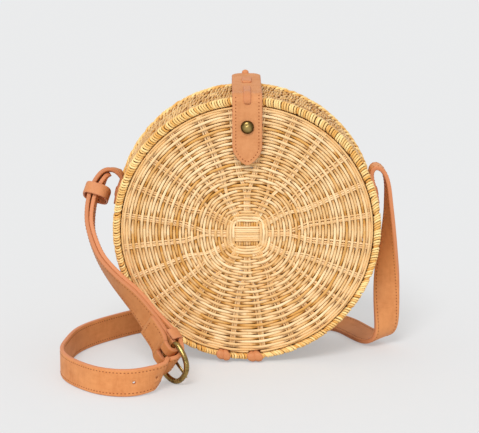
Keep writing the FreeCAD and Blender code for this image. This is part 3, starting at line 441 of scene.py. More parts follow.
def material(name, group, attribute, bump, depth, colours, gloss=0.5, metal=0.0):
    """A material round a shader group. The group's place is the UV map, or the object for metal, its share
    is an attribute of the mesh, and its colours are screen numbers."""
    made = bpy.data.materials.new(name)
    made.use_nodes = True
    tree = made.node_tree
    node = add(tree, "ShaderNodeGroup", node_tree=group)
    if metal:
        place = tree.nodes.new("ShaderNodeTexCoord").outputs["Object"]
    else:
        place = add(tree, "ShaderNodeUVMap", uv_map="lay").outputs[0]
    share = add(tree, "ShaderNodeAttribute", attribute_name=attribute).outputs["Fac"]
    feed(tree, node.inputs, [place, share] + [srgb(*colour) for colour in colours])
    relief = add(tree, "ShaderNodeBump", Strength=bump, Distance=depth)
    tree.links.new(node.outputs["Height"], relief.inputs["Height"])
    inputs = tree.nodes["Principled BSDF"].inputs
    tree.links.new(node.outputs["Color"], inputs["Base Color"])
    tree.links.new(node.outputs["Roughness"], inputs["Roughness"])
    tree.links.new(relief.outputs["Normal"], inputs["Normal"])
    inputs["Metallic"].default_value = metal
    inputs["Specular IOR Level"].default_value = gloss
    return made


CANE = cane_group()
LEATHER = leather_group()
BRASS = brass_group()


def cane(name, *colours):
    """Peeled cane, pale and deep: a soft waxy gloss."""
    return material(name, CANE, "tone", 0.35, 0.0002, colours, 0.24)


def leather(name, *colours, gloss=0.22):
    """Smooth tanned leather: face, shade and painted edge."""
    return material(name, LEATHER, "edge", 0.22, 0.00025, colours, gloss)


lid_cane = cane("Lid cane", (250, 219, 170), (217, 159, 78))
border_cane = cane("Border cane", (255, 222, 153), (229, 171, 88))
wall_cane = cane("Wall cane", (240, 197, 130), (198, 137, 63))
# A darker copy of the wall cane for the inner twined rows: painted shade inside the wall.
shaded_inner_cane = cane("Shaded inner wall cane", (190, 138, 78), (146, 98, 48))
core_cane = cane("Shaded core cane", (150, 98, 46), (104, 62, 26))
strap_leather = leather("Strap leather", (222, 149, 91), (196, 119, 65), (210, 136, 92))
# A darker copy of the strap leather for the short strap: painted shade.
shaded_short_leather = leather("Shaded short strap leather", (205, 137, 82), (181, 109, 58), (198, 127, 85))
tab_leather = leather("Tab leather", (212, 146, 97), (190, 122, 75), (206, 136, 96), gloss=0.08)
lace_leather = leather("Lace leather", (208, 138, 91), (184, 111, 64), (204, 133, 92))
thread = leather("Sewing thread", (158, 88, 46), (124, 66, 32), (158, 88, 46))
brass = material("Antique brass", BRASS, "tone", 0.08, 0.0002, ((178, 152, 92), (84, 64, 30)), metal=1.0)

# Woven discs: rows over and under groups of spokes, a centre cross and a hoop
ROWS = 36
ROW_T = 1.85
ROW_SAMPLES = 288
BIND_ROWS = 3
SPLIT_ROW = 12
GROUPS = 12
FAR_GROUPS = 24
TIE_GROUP = 9
SPOKE_W = 1.45
SPOKE_T = 1.0
SPOKE_SAMPLES = 44
SPOKE_STOP = 90.0
PART_FROM = 28
PART_OVER = 20
WEAVE = 1.38
DIP_SHADE = 0.42
LEVEL_SPACE = 9
LEVEL_POWER = 2.2
CROSS_HALF = 10.2
CROSS_POWER = 4.5
CROSS_T = 1.4
UPRIGHTS = 9
UPRIGHT_SPAN = 7.4
UPRIGHT_REACH = 9.6
LEVELS = 7
LEVEL_SPAN = 4.9
LEVEL_REACH = 9.7
HOOP_SAMPLES = 240


def disc_point(angle, share, rim_r, mid_y, sink, drop):
    """A point of the disc: a share of the way from a rounded square about the cross to the round rim."""
    corner = np.abs(np.cos(angle)) ** CROSS_POWER + np.abs(np.sin(angle)) ** CROSS_POWER
    near = round_axis(CROSS_HALF / corner ** (1 / CROSS_POWER), angle, mid_y, drop)
    far = round_axis(rim_r, angle, mid_y, sink)
    return near + (far - near) * share[..., None]


def far_swing(angle):
    """A cosine with one swing for each two of the far groups of spokes."""
    return np.cos(FAR_GROUPS // 2 * (angle - np.pi / FAR_GROUPS))


def disc_rows(rim_r, mid_y, sink, drop, face, width):
    """Rows: the depth rises over one group of spokes and dips under the next, turned about on every second
    row. It is a cosine with twelve groups to the turn near the middle and twenty-four further out, raised
    to a power so that it lies level between groups that are far apart. The first rows bind the cross and
    dip only at its corners. Canes are painted deeper in tone where they dip: painted shade."""
    angle = np.broadcast_to(angles(ROW_SAMPLES), (ROWS, ROW_SAMPLES))
    number = np.arange(ROWS)[:, None]
    share = number / ROWS + wander(ROWS, ROW_SAMPLES, 0.0036, (2, 3, 5, 7, 11))
    paths = disc_point(angle, share, rim_r, mid_y, sink, drop)
    inner = number < SPLIT_ROW
    swing = np.where(inner, np.cos(GROUPS // 2 * angle), far_swing(angle))
    turn = 2 * np.pi * (CROSS_HALF + (rim_r - CROSS_HALF) * number / ROWS)
    space = turn / np.where(inner, GROUPS, FAR_GROUPS)
    wave = squared(swing, np.clip(space / LEVEL_SPACE, 1.0, LEVEL_POWER))
    wave = wave * np.where(number % 2 == 0, 1, -1)
    wave = np.where(number < BIND_ROWS, 0.2 + 0.55 * np.cos(4 * angle), wave)
    paths[..., 1] += face * WEAVE * wave * (1 + wander(ROWS, ROW_SAMPLES, 0.15, (5, 8, 13)))
    # Rows are painted deeper in tone where they dip under the spokes: painted shade in the weave's
    # recesses.
    tones = cane_tones(ROWS, ROW_SAMPLES, 5, 0.16) - 0.08 + DIP_SHADE * np.clip(-wave, 0, 1)
    return strands(paths, BACKWARD, width, ROW_T, 6, True, tones)


def disc_spokes(rim_r, mid_y, sink, drop, short_ends):
    """Spokes: twelve groups of four canes leave the cross; each parts in two, and a third cane joins each
    half. The ends near the ties stop short of them."""
    along = np.linspace(0, 1, SPOKE_SAMPLES)[None, :]
    group = np.arange(GROUPS)[:, None]
    by_tie = short_ends & (group == TIE_GROUP)
    end = np.where(by_tie, (SPOKE_STOP - CROSS_HALF) / (rim_r - CROSS_HALF), 1.0)
    shells = []
    for side in (-1, 1):
        for near, far, begin in ((0.65, 0.0, 0.0), (1.95, 1.5, 0.0), (-0.65, -1.5, 0.36)):
            share = begin + (end - begin) * along
            r = CROSS_HALF + (rim_r - CROSS_HALF) * share
            parted = smooth(np.clip((r - PART_FROM) / PART_OVER, 0, 1))
            bearing = np.radians(360 / GROUPS * group + side * 180 / FAR_GROUPS * parted)
            paths = disc_point(bearing, share, rim_r, mid_y, sink, drop)
            lean = rng.normal(0, 0.25, (GROUPS, 1)) * np.sin(np.pi * along)
            apart = side * (near + (far - near) * parted)
            paths = paths + outward(bearing + np.pi / 2) * (apart + lean)[..., None]
            tones = rng.normal(0.42, 0.14, GROUPS)
            shells.append(strands(paths, BACKWARD, SPOKE_W, SPOKE_T, 6, False, tones))
    return together(shells)


def disc_cross(mid_y, drop, face):
    """The cross: nine upright canes with seven level ones bound over them, whose ends dip by a sixth
    power of the way from the middle."""
    run = np.linspace(-1, 1, 9)
    up = np.zeros((UPRIGHTS, len(run), 3))
    up[..., 0] = np.linspace(-UPRIGHT_SPAN, UPRIGHT_SPAN, UPRIGHTS)[:, None]
    up[..., 1] = mid_y - face * 0.55
    up[..., 2] = AXIS_Z - drop + UPRIGHT_REACH * run
    flat = np.zeros((LEVELS, len(run), 3))
    level = np.linspace(-LEVEL_SPAN, LEVEL_SPAN, LEVELS)[:, None]
    flat[..., 0] = LEVEL_REACH * run
    flat[..., 1] = mid_y + face * (0.85 - 0.8 * run**6)
    flat[..., 2] = AXIS_Z - drop + level + rng.normal(0, 0.06, (LEVELS, 1))
    up_shell = strands(up, BACKWARD, 1.8, CROSS_T, 8, False, rng.normal(0.66, 0.1, UPRIGHTS))
    flat_shell = strands(flat, BACKWARD, 1.62, CROSS_T, 8, False, rng.normal(0.36, 0.07, LEVELS))
    return together([up_shell, flat_shell])


def hoop(radius, mid_y, width, thick, tone, gaps=(), sink=0.0, weave=0.0):
    """A hoop of cane, with gaps where the ties pass, as arcs round a centre that sits a little below the
    axis. It may pass over and under the spokes like a row."""
    spans = [(0.0, 2 * np.pi)]
    if gaps:
        begins, ends = zip(*sorted(gaps))
        spans = zip(ends, (*begins[1:], begins[0] + 2 * np.pi))
    shells = []
    for begin, end in spans:
        n = max(8, int((end - begin) / (2 * np.pi) * HOOP_SAMPLES))
        a = np.linspace(begin, end, n, endpoint=bool(gaps))
        path = round_axis(radius, a, mid_y + weave * squared(far_swing(a), LEVEL_POWER), sink)
        shells.append(strands(path[None], BACKWARD, width, thick, 8, not gaps, tone))
    return together(shells)


TIES = ((-10.5, 10.4), (3.5, 11.4))
LID_ROW_R = 89.6
PANEL_ROW_R = 90.6
HOOP_STEPS = (-0.1, 1.8, 3.4)
GAP_R = 91.0


def tie_gap(turn, half_width, radius):
    """The stretch of a hoop, as two angles, that a tie needs."""
    middle = math.radians(turn - 90)
    half = half_width / radius
    return (middle - half, middle + half)


tie_gaps = [tie_gap(turn, width * 0.36 + 0.4, GAP_R) for turn, width in TIES]
for label, body, row_r, row_w, mid_y, sink, drop, face, gaps in (
    ("lid", "lid", LID_ROW_R, 2.15, LID_Y, LID_SINK, CROSS_DROP, -1, tie_gaps),
    ("back", "drum", PANEL_ROW_R, 2.7, PANEL_Y, BACK_SINK, 0.0, 1, []),
):
    rows = disc_rows(row_r, mid_y, sink, drop, face, row_w)
    piece(label + "_weave", rows, lid_cane, [label + "_rows"], body)
    hoop_r = [row_r + step for step in HOOP_STEPS]
    spokes = disc_spokes(hoop_r[2], mid_y, sink, drop, label == "lid")
    piece(label + "_spokes", spokes, lid_cane, [label + "_stakes"], body)
    piece(label + "_centre", disc_cross(mid_y, drop, face), lid_cane, [label + "_cross"], body)
    rims = [
        hoop(hoop_r[0], mid_y, 2.1, 1.9, 0.42, (), sink, face * WEAVE),
        hoop(hoop_r[1], mid_y, 1.9, 1.9, 0.5, (), sink, -face * WEAVE),
        hoop(hoop_r[2], mid_y, 1.7, 2.2, 0.55, gaps, sink, face * WEAVE * 0.6),
    ]
    piece(label + "_hoop", together(rims), lid_cane, [label + "_rim"], body)


# Borders: canes wrapped round a core
WRAP_SIDES = 20
WRAP_POWER = 0.75
STAKES = 24
WRAPS_EACH = 13
WRAPS = STAKES * WRAPS_EACH
BACK_WRAPS = 188
FRONT_CORE_R = 97.1
front_mid = FRONT_Y + BORDER_DEPTH / 2
back_mid = BACK_Y - BORDER_DEPTH / 2


def wrapped(count, outer_r, width, mid_y, ahead_y, sink, slant, lean, sunk, sunk_shade, cane_w, cane_t, tone):
    """Wraps: closed loops round a border's roll. Each is a squared-off oval; its outer side is turned on
    round the ring by the slant, and the side away from the drum's middle by the lean."""
    around = angles(WRAP_SIDES)
    turn = angles(count)[:, None]
    out = squared(np.cos(around), WRAP_POWER)
    ahead = squared(np.sin(around), WRAP_POWER)
    wide = width(turn)
    half_r = wide / 2 - cane_t / 2 - sunk[:, None] + rng.normal(0, 0.07, (count, 1))
    half_y = BORDER_DEPTH / 2 - cane_t / 2 - sunk[:, None]
    r = outer_r - wide / 2 + out * half_r
    y = mid_y + ahead_y * ahead * half_y
    angle = turn + slant[:, None] * out + lean * ahead + rng.normal(0, 0.0014, (count, 1))
    wraps = round_axis(r, angle, y, sink)
    middle = round_axis(outer_r - wide / 2, angle, mid_y, sink)
    # Sunk wraps are painted deeper in tone by the sunk shade weight: painted shade in the border's notches.
    return strands(wraps, unit(wraps - middle), cane_w, cane_t, 6, True, tone + sunk_shade * sunk)


stake_slant = rng.normal(math.radians(0.35), math.radians(0.25), STAKES)
wrap_place = (np.arange(WRAPS) - WRAPS_EACH // 2) % WRAPS_EACH
front_notch = np.where(wrap_place == 0, 0.75, 0.12 * (rng.uniform(0, 1, WRAPS) < 0.3))
front_wraps = wrapped(
    WRAPS,
    BORDER_R,
    width=lambda turn: 5.8 + np.sin(turn),
    mid_y=front_mid,
    ahead_y=-1,
    sink=0.0,
    slant=np.repeat(stake_slant, WRAPS_EACH),
    lean=0.014,
    sunk=front_notch,
    sunk_shade=0.5,
    cane_w=1.72,
    cane_t=1.4,
    tone=rng.normal(0.44, 0.28, WRAPS),
)
piece("front_border_wraps", front_wraps, border_cane, ["front_border"], "drum")
front_core = hoop(FRONT_CORE_R, front_mid, 3.0, 4.8, 0.5, (), 0.5)
piece("front_border_core", front_core, core_cane, [], "drum")
back_notch = rng.uniform(0, 0.35, BACK_WRAPS) + 0.4 * (rng.uniform(0, 1, BACK_WRAPS) < 0.14)
back_wraps = wrapped(
    BACK_WRAPS,
    BACK_R,
    width=lambda turn: np.full_like(turn, BORDER_WIDTH),
    mid_y=back_mid,
    ahead_y=1,
    sink=BACK_SINK,
    slant=rng.normal(math.radians(-0.3), math.radians(0.2), BACK_WRAPS),
    lean=-0.03,
    sunk=back_notch,
    sunk_shade=0.4,
    cane_w=2.25,
    cane_t=1.9,
    tone=rng.normal(0.46, 0.25, BACK_WRAPS),
)
piece("back_border_wraps", back_wraps, border_cane, ["back_border"], "drum")
back_core = hoop(BACK_R - BORDER_WIDTH / 2, back_mid, 4.2, 4.8, 0.5, (), BACK_SINK)
piece("back_border_core", back_core, core_cane, [], "drum")

# Wall: pairs of canes twined round each other, row by row, over upright canes
WALL_ROWS = 24
DEEP_ROWS = 4
END_HOOP_R = 96.9
STAKE_R = 94.0
STAKE_GAP = 1.7
STAKE_END = 32.4


def twined(places, twists, samples, mid_r, swell, reach, width, thick, sides):
    """Rows of two canes: each goes round the row's line, half a turn apart, so slanted strokes show."""
    rows = len(places)
    a = angles(twists * samples)
    phase = rng.uniform(0, 2 * np.pi, (rows, 1)) + wander(rows, len(a), 5.0, (17, 29, 43, 61))
    paths = []
    for half in (0, np.pi):
        twist = -twists * a + phase + half
        y = places[:, None] + reach * np.sin(twist)
        paths.append(round_axis(mid_r + swell * np.cos(twist), a, y))
    tones = cane_tones(2 * rows, len(a), 60, 0.17) - 0.04
    return strands(np.concatenate(paths), outward(a), width, thick, sides, True, tones)


deep_places = np.linspace(-23.5, 25.5, DEEP_ROWS)
coarse_rows = twined(deep_places, 132, 9, WALL_R + 0.55, 0.8, 7.0, 1.9, 1.6, 5)
piece("wall_twine_coarse", coarse_rows, wall_cane, ["wall_weave"], "drum")
wall_places = np.linspace(-29.9, 31.6, WALL_ROWS)
fine_rows = twined(wall_places, 71, 8, WALL_R - 0.5, 0.5, 0.7, 1.9, 1.3, 4)
# The inner rows use the darker cane copy: painted shade.
piece("wall_twine_fine", fine_rows, shaded_inner_cane, [], "drum")
wall_gaps = [tie_gap(turn, width / 2 + 0.9, WALL_R) for turn, width in TIES]
wall_ends = [hoop(END_HOOP_R, -31.7, 2.6, 1.9, 0.6, wall_gaps), hoop(END_HOOP_R, 32.7, 2.6, 1.2, 0.6)]
piece("wall_ends", together(wall_ends), core_cane, [], "drum")
stake = np.arange(3 * STAKES)
stake_a = 2 * np.pi * (stake // 3 + 0.5) / STAKES + (stake % 3 - 1) * STAKE_GAP / STAKE_R
stake_lines = round_axis(STAKE_R, stake_a[:, None], np.linspace(-STAKE_END, STAKE_END, 8))
stake_tones = rng.normal(0.5, 0.12, len(stake))
uprights = strands(stake_lines, outward(stake_a)[:, None, :], 1.6, 1.5, 6, False, stake_tones)
piece("wall_uprights", uprights, wall_cane, ["wall_stakes"], "drum")


# Leather bands: a track is points with their direction, across direction and the normal of their face
def route(points, edges, step):
    """A smooth curve through points: on each span a cubic whose slopes come from its neighbours, spaced by
    the square root of their distances; the edge directions ease from one point to the next."""
    p = np.array(points, float)
    e = np.array(edges, float)
    ends = np.vstack([2 * p[0] - p[1], p, 2 * p[-1] - p[-2]])
    gap = np.sqrt(np.maximum(np.linalg.norm(np.diff(ends, axis=0), axis=1), 1e-6))[:, None]
    g1, g2, g3 = gap[:-2], gap[1:-1], gap[2:]
    p0, p1, p2, p3 = ends[:-3], ends[1:-2], ends[2:-1], ends[3:]
    m1 = ((p1 - p0) / g1 - (p2 - p0) / (g1 + g2) + (p2 - p1) / g2) * g2
    m2 = ((p2 - p1) / g2 - (p3 - p1) / (g2 + g3) + (p3 - p2) / g3) * g2
    counts = np.maximum(1, np.ceil(np.linalg.norm(p2 - p1, axis=1) / step)).astype(int)
    k = np.repeat(np.arange(len(counts)), counts)
    first = np.concatenate([[0], np.cumsum(counts)[:-1]])
    u = ((np.arange(len(k)) - first[k]) / counts[k])[:, None]
    line = (
        p1[k] * (2 * u**3 - 3 * u**2 + 1)
        + m1[k] * (u**3 - 2 * u**2 + u)
        + p2[k] * (3 * u**2 - 2 * u**3)
        + m2[k] * (u**3 - u**2)
    )
    ease = smooth(u)
    turn = e[:-1][k] * (1 - ease) + e[1:][k] * ease
    return np.vstack([line, p[-1]]), np.vstack([turn, e[-1]])


def track_of(line, edges):
    """A track from a line and the directions of its edges, each made square to the line."""
    t = headings(line, False)
    w = unit(edges - t * np.sum(edges * t, axis=1, keepdims=True))
    return line, t, w, np.cross(t, w)


def cut(track, keep):
    """The part of a track that a slice keeps."""
    return tuple(x[keep] for x in track)


def joined(*tracks):
    """Tracks set end to end."""
    return tuple(np.concatenate(parts) for parts in zip(*tracks))


def finer(track, at):
    """A track read at other lengths along it."""
    s = lengths(track[0])
    p, *turns = (read_along(at, s, x) for x in track)
    return (p, *(unit(x) for x in turns))


def eased(values, start, stop, times):
    """Values along a line, each set to a mean of itself and its neighbours a few times over, between two
    places."""
    out = values.copy()
    for k in range(times):
        mean = (out[:-2] + 2 * out[1:-1] + out[2:]) / 4
        out[start:stop] = mean[start - 1 : stop - 1]
    return out


def band(track, width=STRAP_W, shift=0.0):
    """A strap's band along a track; shift moves it sideways."""
    p, t, w, n = track
    return strip(p + w * shift, w, n, (width, STRAP_T, STRAP_CORNER))


def stitches(track, sideways, lift, pitch=2.6, length=1.7, skip=3.0):
    """Stitches along a track: short threads at a pitch, moved sideways from its middle and lifted off."""
    begins = np.arange(skip, lengths(track[0])[-1] - skip - length, pitch)
    p, t, w, n = finer(track, begins[:, None] + np.linspace(0, length, 4))
    low = np.array([-0.4, 0.05, 0.05, -0.4])
    paths = p + w * sideways + n * (lift + np.sign(lift) * low)[:, None]
    return strands(paths, n, THREAD_W, THREAD_T, 5)


LAY_R = 100.2
LAY_BEARINGS = (8.0, 13.5, 19.0)
THREAD_W = 0.8
THREAD_T = 0.42


def side_point(side, out, y, up):
    """A point beside the drum: past the border at one side, and above the axis."""
    return (side * (BORDER_R + out), y, AXIS_Z + up)


def low_point(x_out, y_ahead, z):
    """A point of the strap in front at the left."""
    return (-BORDER_R + x_out, FRONT_Y - y_ahead, z)


def hang_point(x_out, y_ahead, share):
    """A point of the strap in front at the left, at a share of the way up from the buckle to the axis."""
    return low_point(x_out, y_ahead, BUCKLE_HEIGHT + (AXIS_Z - BUCKLE_HEIGHT) * share)


def behind(x, back, z):
    """A point of the strap where it passes behind the drum."""
    return (x, BACK_Y + back, z)


def floor_side(side, out, y, z):
    """A point of the strap at one side, past the border."""
    return (side * (BORDER_R + out), y, z)


def wall_points(side):
    """Where a strap lies on the wall, from its end to where it leaves."""
    a = np.radians(LAY_BEARINGS)
    return [(side * LAY_R * math.cos(k), 0.0, AXIS_Z + LAY_R * math.sin(k)) for k in a]


# Short strap: from the left of the wall, over an arch and down to the buckle's bar
STEP = 2.5
EASE_FROM = 10
EASE_LEFT = 6
FRONT_EDGE = (0, -1, 0)
ARCH_LEFT = [(-3.2, -1, 36.4), (0.3, -2, 38.7), (4.6, -3, 39.3), (9.4, -5, 36.9), (13.0, -7, 32.2)]
ARCH_LEFT += [(16.0, -10, 27.2), (18.1, -13, 21.2), (19.3, -17, 14.6), (19.7, -21, 7.8)]
HANG_LEFT = [(-19.2, -14.0, 1.0), (-16.2, -8.5, 0.867), (-9.2, 1.5, 0.682), (2.9, 12.5, 0.501)]
HANG_LEFT += [(16.5, 22.0, 0.335), (30.0, 33.5, 0.126), (37.5, 40.5, 0.0)]
short_points = wall_points(-1)
short_points += [side_point(-1, *place) for place in ARCH_LEFT]
short_points += [hang_point(*place) for place in HANG_LEFT]
short_edges = [FRONT_EDGE] * 3
short_edges += [(0, -1, 0.06), (0, -0.99, 0.14), (0, -0.97, 0.22), (0, -0.95, 0.3), (0, -0.93, 0.36)]
short_edges += [(0.03, -0.92, 0.4), (0.04, -0.91, 0.42), (0.02, -0.9, 0.44), (0, -0.88, 0.48)]
short_edges += [(0, -0.86, 0.51), (-0.03, -0.84, 0.54), (-0.06, -0.82, 0.56), (0.1, -0.74, 0.62)]
short_edges += [(0.3, -0.6, 0.735), (0.44, -0.485, 0.755), (0.44, -0.485, 0.755)]
short_line, short_turn = route(short_points, short_edges, STEP)
short_stop = len(short_line) - EASE_LEFT
short_line = eased(short_line, EASE_FROM, short_stop, 5)
short = track_of(short_line, eased(short_turn, EASE_FROM, short_stop, 16))
END_P, END_T, END_W, END_N = (x[-1] for x in short)
BAR_OFF = BAR_R + BAR_CLEAR + STRAP_T / 2
BAR = END_P + END_T * RUN_TO_BAR + END_N * BAR_OFF
BEND_STEPS = 13
SLOT_HALF = 2.3
SLOT_REACH = BAR_OFF + STRAP_T
FOLD_CLOSE = STRAP_T + LAYER_GAP / 2


def flat_run(begin, end):
    """A straight stretch of the short strap beside the bar, between two distances before and past it."""
    u = np.linspace(begin, end, 5)[:, None]
    return (BAR + END_T * u - END_N * BAR_OFF, *(np.tile(v, (5, 1)) for v in (END_T, END_W, END_N)))


bend = np.linspace(0, np.pi, BEND_STEPS)[:, None]
bend_line = BAR + END_T * (BAR_OFF * np.sin(bend)) - END_N * (BAR_OFF * np.cos(bend))
bend_t = END_T * np.cos(bend) + END_N * np.sin(bend)
bend_w = np.tile(END_W, (BEND_STEPS, 1))
bar_bend = (bend_line, bend_t, bend_w, np.cross(bend_t, bend_w))
before_slot = flat_run(-RUN_TO_BAR, -SLOT_REACH)
slot_in = flat_run(-SLOT_REACH, 0.0)
short_s = lengths(short[0])
short_far = short_s[-1] - short_s
fold_keep = np.nonzero((short_far > 3.0) & (short_far < 16.0))[0][::-1]
fold_points = [BAR + END_N * BAR_OFF, BAR + END_N * BAR_OFF - END_T * 4.0]
fold_points.append(END_P + END_T * 2.0 + END_N * (FOLD_CLOSE + 0.9))
fold_points += list(short[0][fold_keep] + short[3][fold_keep] * FOLD_CLOSE)
fold_edges = [END_W] * 3 + list(short[2][fold_keep])
fold = track_of(*route(fold_points, fold_edges, STEP))
fold_far = lengths(fold[0])
fold_in = cut(fold, fold_far <= SLOT_REACH)
fold_out = cut(fold, fold_far >= SLOT_REACH - STEP)
half_w = STRAP_W / 2 - SLOT_HALF
half_mid = (STRAP_W / 2 + SLOT_HALF) / 2
main_run = joined(cut(short, slice(None, -1)), before_slot)
round_bar = joined(cut(slot_in, slice(None, -1)), bar_bend, cut(fold_in, slice(1, None)))
short_bands = [band(main_run), band(round_bar, half_w, half_mid), band(round_bar, half_w, -half_mid)]
short_shell = together(short_bands + [band(fold_out)])
short_nodes = ["strap_short_top", "strap_short_low"]
# The short strap uses the darker leather copy: painted shade.
short_strap = piece("short_strap", short_shell, shaded_short_leather, short_nodes)
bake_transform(short_strap)

# Long strap: its tail lies on the short strap, passes the buckle and goes round behind the drum
TAIL_OFF = STRAP_T + LAYER_GAP
TAIL_LIFT = 3.2
LIFT_FROM = 34.0
LIFT_OVER = 26.0
TOP_GAP = 2.1
GAP_OPENS = 14.0
GAP_CLOSES = 50.0
TURN = BAR_OFF + TAIL_OFF
FLOOR_Z = STRAP_W / 2 + 0.3
FLAT_Z = STRAP_W / 2 * 0.25 + STRAP_T / 2 + 0.3
FOLD_Z = 11.5
FLAT_EDGE = (0.87, 0.42, 0.25)
apex = int(np.argmax(short[0][:, 2]))
rise = smooth(np.clip((LIFT_FROM - short_far - RUN_TO_BAR) / LIFT_OVER, 0, 1))
fall = short_s - short_s[apex]
top_gap = np.minimum(1, 0.1 + fall / GAP_OPENS) * np.maximum(0, 1 - fall / GAP_CLOSES)
lift = STRAP_T + 0.12 + (TAIL_LIFT + 0.38) * rise + TOP_GAP * top_gap
tail_points = list((short[0] - short[3] * lift[:, None])[apex:])
tail_points += [
    END_P + END_T * run - END_N * (TAIL_OFF + TAIL_LIFT * more) for run, more in ((4.0, 0.9), (8.0, 1.0))
]
tail_turns = [(2.0, TURN + TAIL_LIFT * 0.2), (5.8, TURN - 2.0), (8.2, TURN - 6.2)]
tail_turns += [(9.2, -4.0), (9.0, -11.0)]
tail_points += [BAR + END_T * run - END_N * off for run, off in tail_turns]
tail_edges = list(short[2][apex:]) + [END_W] * 7
LOOP_FRONT = [(38.5, 69.5, 3.6), (31.0, 79.5, 1.4), (21.0, 84.6, 0.2), (8.5, 85.3, 0), (-5.5, 80.0, 0)]
LOOP_FRONT += [(-20.5, 65.0, 0), (-32.3, 46.5, 0), (-37.2, 26.0, 0), (-35.2, 3.0, 0)]
loop_points = [low_point(x, y, FLOOR_Z + up) for x, y, up in LOOP_FRONT]
loop_points += [floor_side(-1, *place, FLOOR_Z) for place in ((29.6, -13.0), (17.5, 9.0), (2.5, 26.5))]
loop_points += [behind(*place, FLOOR_Z) for place in ((-80.0, 6.8), (-45.0, 15.5), (-5.0, 20.0))]
loop_edges = [(0.33, -0.3, 0.89), (0.16, -0.12, 0.98), (0.05, -0.03, 1)] + [(0, 0, 1)] * 12
FLOOR_RIGHT = [(-10.5, 30.0, FLAT_Z), (-2.0, 12.5, FLAT_Z), (4.6, 4.2, FLAT_Z * 1.4)]
FLOOR_RIGHT += [(8.4, 1.6, FOLD_Z), (8.4, 0.8, FOLD_Z * 2.1), (8.0, 0.0, AXIS_Z * 0.366)]
FLOOR_RIGHT += [(7.6, -1.5, AXIS_Z * 0.549), (8.1, -2.0, AXIS_Z * 0.721)]
FLOOR_RIGHT += [(8.6, -3.0, AXIS_Z * 0.837), (8.7, -3.0, AXIS_Z * 0.952)]
ARCH_RIGHT = [(8.5, -3.0, 5.2), (8.0, -2.5, 14.6), (7.5, -2.0, 23.7), (6.4, -1.0, 31.2)]
ARCH_RIGHT += [(4.2, 0, 37.2), (0.5, 0, 40.8), (-3.0, 0, 41.4), (-5.3, 0, 38.2)]
right_points = [behind(35.0, 21.0, (FLOOR_Z + FLAT_Z) / 2), behind(62.0, 19.0, FLAT_Z)]
right_points += [behind(78.0, 13.0, FLAT_Z)]
right_points += [floor_side(1, *place) for place in FLOOR_RIGHT]
right_points += [side_point(1, *place) for place in ARCH_RIGHT]
right_points += wall_points(1)[::-1]
right_edges = [(0.2, 0.62, 0.75), (0.5, 0.75, 0.45), (0.8, 0.52, 0.3), FLAT_EDGE, FLAT_EDGE]
right_edges += [(0.74, 0.64, 0.2), (0.84, 0.52, 0.12), (0.95, 0.3, 0.04), (0.99, 0.06, 0)]
right_edges += [(0.93, -0.36, 0), (0.68, -0.73, 0), (0.47, -0.88, 0), (0.32, -0.95, 0)]
right_edges += [(0.21, -0.98, 0), (0.12, -0.99, 0), (0.06, -1, 0), (0.02, -1, 0)]
right_edges += [FRONT_EDGE] * 7
long_points = tail_points + loop_points + right_points
long_line, long_turn = route(long_points, tail_edges + loop_edges + right_edges, STEP)
smooth_from = nearest(long_line, loop_points[1])
arch_from = nearest(long_line, side_point(1, *ARCH_RIGHT[0]))
long_stop = len(long_line) - EASE_LEFT
long_line = eased(eased(long_line, smooth_from, arch_from, 20), smooth_from, long_stop, 2)
long = track_of(long_line, eased(long_turn, smooth_from, long_stop, 30))
under = long[0][:, 2] - np.abs(long[2][:, 2]) * STRAP_W / 2 - np.abs(long[3][:, 2]) * STRAP_T / 2
long[0][:, 2] += np.maximum(0.0, 0.2 - under)
PART_POINT = (-139.0, -60.0, 10.0)
part_at = nearest(long[0], PART_POINT)
back_run = cut(long, slice(part_at, None))
front_run = cut(long, slice(None, part_at + 1))

# The tail's end is rounded: its half width is a quarter circle drawn out to the tip's length
TIP_LENGTH = 11.0
TIP_STEPS = 16
front_s = lengths(front_run[0])
tip_s = TIP_LENGTH * (1 - np.cos(np.linspace(0, np.pi / 2, TIP_STEPS)))
front_s = np.concatenate([tip_s, front_s[front_s > TIP_LENGTH + 0.8]])
front_run = finer(front_run, front_s)
tip = np.clip(front_s / TIP_LENGTH, 0, 1)
tip_w = np.maximum(0.12, np.sqrt(1 - (1 - tip) ** 2))
front_size = (STRAP_W, STRAP_T, STRAP_CORNER)
front_shell = strip(front_run[0], front_run[2], front_run[3], front_size, narrow=tip_w)
FACE_STEP = (STRAP_W - 2 * STRAP_CORNER) / (FLATS + 1)


